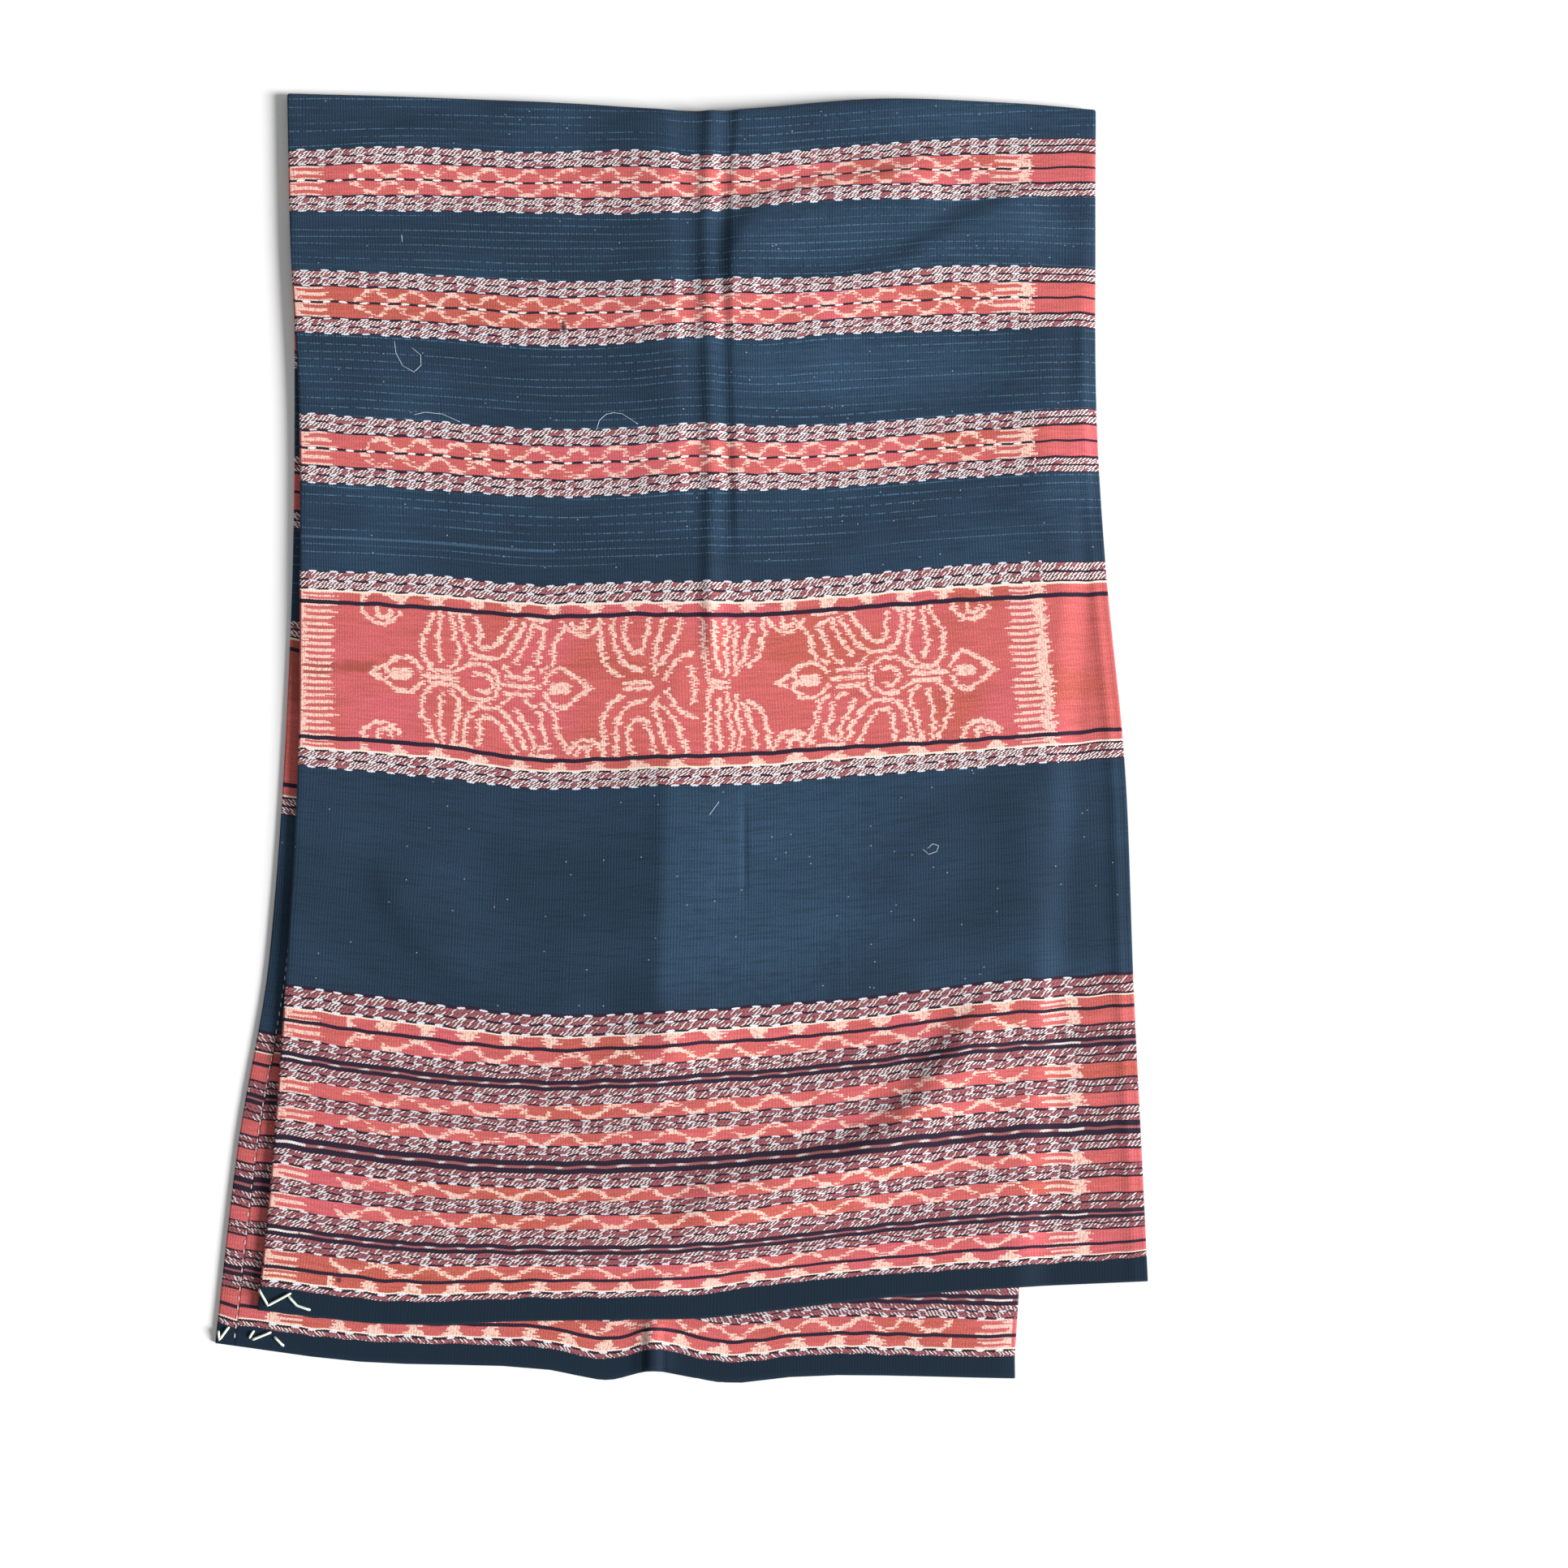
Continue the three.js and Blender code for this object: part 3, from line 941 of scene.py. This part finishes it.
def stripe_reader(distance, stripes):
    """The kind of stripe at a distance from the band's middle, where it starts and how wide it is."""
    total = stripes[-1][1]
    node = new_node(distance.tree, "ValToRGB", {"Fac": distance / total})
    ramp = node.color_ramp
    ramp.interpolation = "CONSTANT"
    start = 0.0
    for i, (kind, end) in enumerate(stripes):
        stop = ramp.elements[0] if i == 0 else ramp.elements.new(start / total)
        stop.position = start / total
        code = (KINDS.index(kind) + 0.5) / len(KINDS)
        stop.color = (code, start / LENGTH_UNIT, (end - start) / LENGTH_UNIT, 1)
        start = end
    ramp.elements.remove(ramp.elements[len(stripes)])
    return node.outputs["Color"]


class Weave:
    """The pattern of the cloth as fields of u and v."""

    def __init__(self, tree):
        self.tree = tree
        uv = new_node(tree, "UVMap", {}, uv_map="weave")
        self.u, self.v = (part / MM for part in self.parts(uv.outputs["UV"])[:2])
        self.yarn = (self.v / YARN).floor()
        self.rib = (self.u + self.swell("rib")).wave(RIB_PITCH)
        self.slip = self.waver("slip") + self.waver("shared slip") + self.steps(*JUMP) * JUMP_REACH
        self.ragged = self.steps(*RAGGED)
        self.section = self.u - (self.u > HALF_WIDTH + FOLD_ARC) * SECTION_START
        self.patch_edge = self.waver("patch edge")
        past_seam = (self.u > SEAM) * (CIRCUMFERENCE - self.u) * (SEAM_SHIFT / (CIRCUMFERENCE - SEAM))
        wobble = self.waver("wobble") + self.rib * RIB_WOBBLE + past_seam
        self.place_stripes(self.v + wobble)

    def parts(self, vector):
        """The three parts of a vector or colour as fields."""
        node = new_node(self.tree, "SeparateXYZ", {0: vector})
        return [Field(self.tree, output) for output in node.outputs]

    def grain(self, name):
        """Noise of a row of GRAINS, around 0.5."""
        row = GRAINS[name]
        x = self.u / row.length_u
        y = self.yarn * row.per_yarn if row.per_yarn else self.v / row.length_v
        if row.start:
            x, y = x + row.start[0], y + row.start[1]
        return noise(x, y, row.detail)

    def swell(self, name):
        """Noise from 0 to its strength."""
        return self.grain(name) * GRAINS[name].strength

    def waver(self, name):
        """Noise around 0."""
        return (self.grain(name) - 0.5) * GRAINS[name].strength

    def tint(self, name):
        """Noise that is 0 up to its low level and at full strength from its high one."""
        row = GRAINS[name]
        return self.grain(name).ramp(row.low, row.high) * row.strength

    def steps(self, length, shift, seed):
        """Luck from -0.5 to 0.5 that changes from yarn to yarn and in steps along it."""
        return chance(self.u / length + self.yarn * shift, self.yarn + seed) - 0.5

    def place_stripes(self, v):
        """Works out which stripe each place is in."""
        first, second, third = NARROW_MIDDLES
        narrow = (v - first).abs().least((v - second).abs()).least((v - third).abs())
        wide = (v - WIDE_MIDDLE).abs()
        group = (v - GROUP_MIDDLE).abs()
        below = (v < GROUP_MIDDLE) * (group > GROUP_LOW_END)
        self.in_group = v < GROUP_TOP
        self.longer = self.in_group * GROUP_LONGER
        in_wide = v.between(*WIDE_RANGE)
        found = stripe_reader(narrow, NARROW_STRIPES)
        found = mixed(self.tree, self.in_group, found, stripe_reader(group, GROUP_STRIPES))
        found = mixed(self.tree, in_wide, found, stripe_reader(wide, WIDE_STRIPES))
        code, start, width = self.parts(found)
        kind = (code * len(KINDS)).floor()
        self.kind = kind - below * kind
        self.start = start * LENGTH_UNIT
        self.width = width * LENGTH_UNIT
        distance = narrow + self.in_group * (group - narrow) + in_wide * (wide - narrow)
        self.inside = distance - self.start
        self.share = self.inside / self.width
        self.high = v > WIDE_RANGE[1]

    def is_kind(self, name):
        return self.kind.between(KINDS.index(name) - 0.5, KINDS.index(name) + 0.5)

    def floats(self, height):
        """The short pale threads, with rounded ends, that lie over the marled stripes at every few ribs."""
        column = (self.u / FLOAT_PITCH).floor()
        middle = (column + 0.5 + (chance(column, column * 0) - 0.5) * FLOAT_LUCK) * FLOAT_PITCH
        nudge = (chance(column, (self.v / FLOAT_STEP).floor() + FLOAT_SEED) - 0.5) * FLOAT_NUDGE
        away = (self.u - middle - nudge).abs() / FLOAT_HALF
        return ((away * away * away + height * height) < 1) * (self.section - self.longer < FLOATS_END)

    def teeth(self, pitch):
        """1 on the long teeth of a comb, at both edges of a stripe and between them."""
        return ((self.inside / pitch + 0.5).fract() - 0.5).abs() < TOOTH_HALF

    def edge(self, slip_share, ragged_reach):
        """The place in the ikat section, with the edge of its figures moved from yarn to yarn."""
        return self.section + self.slip * slip_share + self.ragged * ragged_reach

    def comb(self):
        """The pale combs at both ends of the ikat stripes."""
        narrow_teeth = self.teeth(self.width * 0.5)
        tooth = narrow_teeth + self.is_kind("field") * (self.teeth(FIELD_TOOTH_PITCH) - narrow_teeth)
        place_in = self.edge(*COMB_EDGE)
        left = place_in < tooth * COMB_TOOTH + COMB_SPINE
        right = (place_in - self.longer).between(RIGHT_SPINE[0] - tooth * RIGHT_TOOTH, RIGHT_SPINE[1])
        return (left * (self.section > -SECTION_MARGIN)).most(right)

    def zigzag(self):
        """The stepped pale line of the narrow ikat stripes."""
        period = self.in_group * (GROUP_ZIGZAG - NARROW_ZIGZAG) + NARROW_ZIGZAG
        stepped = ((self.section + self.slip) / STEP).floor() * STEP - ZIGZAG_START
        turn = ((stepped / period + self.start * ZIGZAG_TURN).fract() * 2 - 1).abs()
        middle = ((turn - 0.5) * ZIGZAG_STEEP + 0.5).clamp(*ZIGZAG_RANGE)
        line = (self.share - middle).abs() < self.ragged * ZIGZAG_RAGGED + ZIGZAG_HALF
        length, change, gap = ZIGZAG_GAPS
        unbroken = noise(self.section / length, self.yarn * change) > gap
        return line * self.section.between(*FIGURED) * unbroken

    def wedges(self):
        """The leaning pale wedges of the thin ikat stripes."""
        place_in = (self.edge(*WEDGE_EDGE) / THIN_PITCH).fract() * THIN_PITCH
        lean = (1 - self.share) * WEDGE_LEAN
        return place_in.between(lean + WEDGE[0], WEDGE[1] - lean) * self.section.between(*FIGURED)

    def figures(self):
        """The figures of the wide band, with each yarn slipped a little along the warp."""
        attribute = new_node(self.tree, "Attribute", {}, attribute_name="figures")
        away, growth = self.parts(attribute.outputs["Vector"])[:2]
        return (away - growth * self.slip) < self.ragged * FIGURE_EDGE + FIGURE_GAIN

    def marled(self):
        """The twisted two-coloured yarns of the marled stripes."""
        share = self.share + self.is_kind("marled, turned") * (1 - self.share * 2)
        along = (share * MARLED_ROWS + self.waver("marled row")).clamp(*MARLED_RANGE)
        line = along.fract() < MARLED_LINE
        up = (along.fract() - MARLED_LINE) / (1 - MARLED_LINE) * PLIES
        row = along.floor() * PLIES + up.floor() + self.start
        length, change, reach = TWIST_BEND
        bent = self.u + (noise(self.u / length, row * change) - 0.5) * reach
        phase = (bent - self.v * TWIST_SLANT) / TWIST_PITCH + row * TWIST_SHIFT
        luck = chance(phase, row)
        across = phase.fract()
        dash = (across < luck * DASH_LUCK + DASH_END) * (up.fract() > DASH_GAP)
        start, end = SECOND_DASH
        second = across.between(start, end - luck * SECOND_LUCK) * (up.fract() > SECOND_GAP)
        paint = Paint(self.tree, "maroon")
        paint.add(self.tint("maroon, red"), "maroon, red")
        paint.add(dash.most(second) * PINK_STRENGTH, "twist pink")
        paint.add(dash * (luck > self.in_group * PINK_MORE + PINK_SHARE), "twist white")
        paint.add(self.in_group * RED_BY_HEM, "maroon, red")
        paint.add(line, "dark")
        height = (along.fract() - MARLED_LINE / 2) / MARLED_LINE * MARLED_FLOAT
        paint.add(line * self.floats(height), "float")
        return paint

    def patch(self, centre_u, centre_v, half_u, half_v):
        """A soft patch, 1 at its centre."""
        over = (self.u - centre_u) / half_u
        up = (self.v - centre_v) / half_v
        return 1 - (over * over + up * up + self.patch_edge).ramp(0.0, PATCH_EDGE)

    def add_patches(self, paint, colour):
        strength, places = PATCHES[colour]
        for place in places:
            paint.add(self.patch(*place) * strength, colour)

    def coral(self):
        """The red ground of the ikat stripes, which varies from yarn to yarn and over the cloth."""
        paint = Paint(self.tree, "coral")
        paint.add(self.tint("coral, brown"), "coral, brown")
        paint.add(self.tint("coral, pink").most(self.patch(*PINK_PATCH)), "coral, pink")
        self.add_patches(paint, "coral, brown")
        paint.shade(self.swell("coral yarn") + CORAL_LIGHT)
        paint.add(self.tint("frost"), "frost")
        self.add_patches(paint, "stain")
        return paint

    def ground(self):
        """The indigo ground with its faint lighter yarns."""
        paint = Paint(self.tree, "indigo")
        paint.add(self.tint("indigo, worn and painted light"), "indigo, worn and painted light")
        # painted light: lighter patches on the lit flanks of the folds right of the middle
        self.add_patches(paint, "indigo, worn and painted light")
        paint.add(self.tint("indigo, deep"), "indigo, deep")
        paint.add(self.pinstripes(), "pinstripe")
        middle, half, end, strength = WORN_LINE
        worn = 1 - ((self.v - middle).abs() / half).ramp(WORN_CORE, 1.0)
        paint.add(worn * (self.u < end) * strength, "pinstripe")
        flecks = chance(self.u / FLECK_SIZE[0], self.v / FLECK_SIZE[1]) > 1 - FLECK_SHARE
        paint.add(flecks * FLECK_STRENGTH, "float")
        paint.shade(self.rib * self.swell("indigo rib") + self.waver("indigo grain") + INDIGO_LIGHT)
        return paint

    def pinstripes(self):
        """The beaded lighter yarns of the upper ground, which come and go."""
        moved = self.v + self.swell("pinstripe sway") + self.swell("pinstripe drift")
        place_in = moved / PINSTRIPE_PITCH
        number = place_in.floor()
        length, change, start, low, high = PINSTRIPE_SHOWN
        shown = noise(self.u / length + start, number * change, 1.0).ramp(low, high) * self.high
        length, change, low, high, strength = PINSTRIPE_BEADS
        beads = noise(self.u / length, number * change).ramp(low, high) * strength
        return (place_in.fract() < PINSTRIPE_SHARE) * shown * beads

    def pin(self):
        """The thin red stripes with long pale dashes, which turn pale in the combs at both ends."""
        paint = Paint(self.tree, "pin")
        place_in = (self.u + self.start * 2 + self.swell("pin") - self.v) / PIN_PITCH
        from_middle = (place_in.fract() - 0.5).abs() + (self.share - PIN_MIDDLE).abs() * PIN_ROUND
        right_comb = self.section - self.longer - RIGHT_SPINE[1]
        pale = (1 - from_middle.ramp(*PIN_EDGE)) * (right_comb < -RIGHT_TOOTH)
        paint.add(pale * PIN_STRENGTH, "twist white")
        solid = self.section.between(0, COMB_ZONE).most(right_comb.between(-RIGHT_TOOTH, 0))
        paint.add(solid * COMB_ZONE_STRENGTH, "twist white")
        return paint

    def dashed(self):
        """The dark line with floats in the middle of the narrow bands."""
        paint = Paint(self.tree, "dark")
        paint.add(self.floats(self.share), "twist white")
        return paint

    def from_yarn(self):
        """How far a place lies from the middle of its yarn, as a share of the yarn."""
        return ((self.v / YARN).fract() - 0.5).abs()

    def colour(self):
        """The whole cloth's colour."""
        ikat = self.is_kind("ikat")
        field = self.is_kind("field")
        thin = self.is_kind("thin")
        dyed = self.coral()
        tied = (ikat * self.zigzag()).most(thin * self.wedges()).most(field * self.figures())
        tied = tied.most((ikat + field + thin) * self.comb())
        dyed.add(tied * (self.tint("tie") + TIE_STRENGTH - self.from_yarn() * YARN_GAP), "tie")

        paint = self.ground()
        # painted shade: both hems are painted darker
        paint.add(self.v < HEM_ROWS[-1], "hem")
        paint.add(self.is_kind("dark"), "dark")
        paint.add(ikat + field + thin, dyed)
        paint.add(self.is_kind("cream"), "cream")
        paint.add(self.is_kind("pin"), self.pin())
        paint.add(self.is_kind("marled") + self.is_kind("marled, turned"), self.marled())
        paint.add(self.is_kind("dashed"), self.dashed())
        middle, half = FLOAT_ROUNDS
        paint.add(self.is_kind("float") * (self.share < 0.5).most(self.in_group), "dark")
        paint.add(self.is_kind("float") * self.floats((self.share - middle) / half), "float")
        self.add_patches(paint, "dark")
        paint.shade(1 - ((self.u - SEAM).abs() < SEAM_WIDTH) * SEAM_SHADE)
        paint.shade(self.rib * self.swell("rib shade") + RIB_LIGHT)
        return paint.value

    def height(self):
        """The ribs and yarns, for the shading."""
        grains, fibre_height = FIBRES
        fibres = noise(self.u * grains, self.v * grains) * fibre_height
        return (self.rib * RIB_HEIGHT + self.from_yarn() * -YARN_HEIGHT + fibres).value


CLOTH_ROUGHNESS = 0.8
CLOTH_SPECULAR = 0.15
CLOTH_SHEEN = 0.04
SHEEN_ROUGHNESS = 0.5
BUMP_DEPTH = 0.16 * MM


def new_material(name):
    material = bpy.data.materials.new(name)
    material.use_nodes = True
    return material, material.node_tree, material.node_tree.nodes["Principled BSDF"]


def cloth_material():
    material, tree, shader = new_material("ikat_cloth")
    weave = Weave(tree)
    bump = new_node(tree, "Bump", {"Strength": 1.0, "Distance": BUMP_DEPTH, "Height": weave.height()})
    looks = {
        "Base Color": weave.colour(),
        "Normal": bump.outputs["Normal"],
        "Roughness": CLOTH_ROUGHNESS,
        "Specular IOR Level": CLOTH_SPECULAR,
        "Sheen Weight": CLOTH_SHEEN,
        "Sheen Roughness": SHEEN_ROUGHNESS,
    }
    connect(tree, shader, looks)
    return material


def new_piece(mesh, material):
    """A piece of the sarong, made from its mesh."""
    piece = bpy.data.objects.new(mesh.name, mesh)
    bpy.context.scene.collection.objects.link(piece)
    piece.data.materials.append(material)
    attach(piece, "root")
    return piece


# Stitches and threads, as routes of (x, down) on the cloth as it lies

THREAD_SIDES = 8
STITCH_LENGTH = 2.8
STITCH_PITCH = 6.2
STITCH_RADIUS = 0.4
STITCH_SINK = 0.2
SEAM_SEWN = (150.0, 904.0)
TACK_RADIUS = 0.85
TACKS = (
    ((-286.5, 869), (-279.5, 880), (-264.5, 872)),
    ((-266, 874), (-260, 880), (-251, 883)),
    ((-313.5, 897), (-312.5, 903), (-306.5, 894.5)),
    ((-292.5, 902), (-289.5, 897)),
    ((-290.5, 903), (-278, 898)),
    ((-275.5, 901), (-269, 907)),
)
HAIR_RADIUS = 0.16
HAIRS = (
    ((-214.5, 195), (-213, 204.5), (-208, 214), (-199.5, 219), (-194.5, 214), (-195, 206), (-202, 200)),
    ((-66, 264), (-64, 256.5), (-59, 252), (-53.5, 251), (-47.5, 252), (-36, 260)),
    ((-199, 251.5), (-190.5, 249.5), (-178, 251), (-165, 257)),
    ((17, 546), (20.5, 541), (24, 536)),
    ((166, 568.5), (170.5, 572.5), (176, 570.5), (177.5, 566.5), (173.5, 565), (169.5, 568.5)),
    ((-211.5, 113), (-211, 119)),
)
ROUTE_STEP = 1.5
RAY_START = 0.1  # metres above the floor
THREAD_ROUGHNESS = 0.85
THREAD_GRAIN = 900.0
THREAD_MIX = (0.4, 0.9)


def between_points(route):
    """A route's points with others between them at even steps."""
    found = [np.array(route[0], float)]
    for start, end in zip(route, route[1:]):
        start, end = np.array(start, float), np.array(end, float)
        steps = max(1, round(float(np.hypot(*(end - start))) / ROUTE_STEP))
        found += [start + (end - start) * (i + 1) / steps for i in range(steps)]
    return found


def on_cloth(route, radius, surface, shift):
    """A thread's points in metres, lying on the cloth and dipping into it at both ends."""
    points = []
    for x, down in between_points(route):
        place = Vector(((x + shift[0]) * MM, (shift[1] - down) * MM, RAY_START))
        hit = surface.ray_cast(place, Vector((0, 0, -1)))[0]
        height = hit.z if hit else points[-1].z - radius * MM if points else 0.0
        points.append(Vector((place.x, place.y, height + radius * MM)))
    for end in (0, -1):
        points[end].z -= 2 * radius * MM
    return points


def thread_mesh(name, threads, radius):
    """Round threads of one radius in millimetres, each a list of points."""
    vertices, faces = [], []
    for points in threads:
        first = len(vertices)
        for i, point in enumerate(points):
            along = (points[min(i + 1, len(points) - 1)] - points[max(i - 1, 0)]).normalized()
            side = along.cross(Vector((0, 0, 1))).normalized()
            up = side.cross(along)
            for step in range(THREAD_SIDES):
                turn = 2 * pi * step / THREAD_SIDES
                vertices.append(point + (side * cos(turn) + up * sin(turn)) * radius * MM)
        for i in range(len(points) - 1):
            for step in range(THREAD_SIDES):
                here = first + i * THREAD_SIDES + step
                after = first + i * THREAD_SIDES + (step + 1) % THREAD_SIDES
                faces.append((here, after, after + THREAD_SIDES, here + THREAD_SIDES))
        last = first + (len(points) - 1) * THREAD_SIDES
        faces.append(tuple(range(first, first + THREAD_SIDES))[::-1])
        faces.append(tuple(range(last, last + THREAD_SIDES)))
    mesh = bpy.data.meshes.new(name)
    mesh.from_pydata([tuple(vertex) for vertex in vertices], [], faces)
    mesh.validate()
    mesh.shade_smooth()
    return mesh


def thread_material(name, first, second):
    """A spun thread, in two colours that mix along it."""
    material, tree, shader = new_material(name)
    place_on = tree.nodes.new("ShaderNodeTexCoord").outputs["Object"]
    grain = new_node(tree, "TexNoise", {"Vector": place_on, "Scale": THREAD_GRAIN})
    paint = Paint(tree, first)
    paint.add(Field(tree, grain.outputs["Fac"]).ramp(*THREAD_MIX), second)
    connect(tree, shader, {"Base Color": paint.value, "Roughness": THREAD_ROUGHNESS})
    return material


def seam_stitches(shift):
    """The running stitches of the upright seam, on the rear half's upper face."""
    height = MID_PLANE_HEIGHT - LAYER_PITCH + SIDE_FOLD_RADIUS + CLOTH_THICKNESS / 2 + shift[2]
    across = 1 - (SEAM - HALF_WIDTH - FOLD_ARC) / HALF_WIDTH
    threads = []
    for down in np.arange(*SEAM_SEWN, STITCH_PITCH):
        left, right = side_edges(REAR_SIDES, down)
        x = left + across * (right - left) + shift[0]
        points = []
        for share, lift in ((-0.5, -STITCH_SINK), (-0.25, 0.0), (0.25, 0.0), (0.5, -STITCH_SINK)):
            y = shift[1] - down - share * STITCH_LENGTH
            points.append(Vector((x, y, height + lift)) * MM)
        threads.append(points)
    mesh = thread_mesh("seam_stitches", threads, STITCH_RADIUS)
    return new_piece(mesh, thread_material("seam_thread", "stitch", "maroon, red"))


def loose_threads(cloth, shift):
    """The tacking threads at the corners of both hems and the hairs that cling to the cloth."""
    points = [vertex.co for vertex in cloth.data.vertices]
    surface = BVHTree.FromPolygons(points, [face.vertices for face in cloth.data.polygons])
    pieces = []
    for name, routes, radius, colours in (
        ("tacking_threads", TACKS, TACK_RADIUS, ("tacking_thread", "thread", "float")),
        ("lint_hairs", HAIRS, HAIR_RADIUS, ("lint", "float", "pinstripe")),
    ):
        threads = [on_cloth(route, radius, surface, shift) for route in routes]
        pieces.append(new_piece(thread_mesh(name, threads, radius), thread_material(*colours)))
    return pieces


# The studio

FLOOR_SIZE = 6.0
FLOOR_GRAIN = 3.0
FLOOR_ROUGHNESS = 0.9
WHITE = (1.0, 1.0, 1.0, 1.0)
CAMERA_LENS = 50.0
CAMERA_ELEVATION = 80.4
CAMERA_DISTANCE = 1.533
CAMERA_AIM = Vector((0.0687, -0.0567, 0.0072))
KEY_ELEVATION = 24.0
KEY_AZIMUTH = -20.0  # counted from +X towards +Y
KEY_STRENGTH = 6.3
KEY_SOFTNESS = 22.0
WORLD_STRENGTH = 0.3


def floor():
    bpy.ops.mesh.primitive_plane_add(size=FLOOR_SIZE)
    plane = bpy.context.object
    plane.name = "floor"
    material, tree, shader = new_material("pale_floor")
    mottle = new_node(tree, "TexNoise", {"Scale": FLOOR_GRAIN}).outputs["Fac"]
    colour = mixed(tree, mottle, linear("floor"), WHITE)
    connect(tree, shader, {"Base Color": colour, "Roughness": FLOOR_ROUGHNESS})
    plane.data.materials.append(material)


def lights():
    key = bpy.data.lights.new("key", "SUN")
    key.energy = KEY_STRENGTH
    key.angle = radians(KEY_SOFTNESS)
    lamp = bpy.data.objects.new("key", key)
    lamp.rotation_euler = (0, radians(90 - KEY_ELEVATION), radians(KEY_AZIMUTH))
    bpy.context.scene.collection.objects.link(lamp)
    world = bpy.data.worlds.new("studio")
    world.use_nodes = True
    looks = {"Color": WHITE, "Strength": WORLD_STRENGTH}
    connect(world.node_tree, world.node_tree.nodes["Background"], looks)
    bpy.context.scene.world = world


def camera():
    data = bpy.data.cameras.new("camera")
    data.lens = CAMERA_LENS
    seen = bpy.data.objects.new("camera", data)
    elevation = radians(CAMERA_ELEVATION)
    seen.location = CAMERA_AIM + CAMERA_DISTANCE * Vector((0, -cos(elevation), sin(elevation)))
    seen.rotation_euler = (pi / 2 - elevation, 0, 0)
    bpy.context.scene.collection.objects.link(seen)
    bpy.context.scene.camera = seen
    bpy.context.scene.view_settings.view_transform = "Standard"


camera()
lights()
floor()
sarong_mesh, sarong_shift = cloth_mesh()
sarong = new_piece(sarong_mesh, cloth_material())
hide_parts("sarong_tube")
threads = [seam_stitches(sarong_shift), *loose_threads(sarong, sarong_shift)]
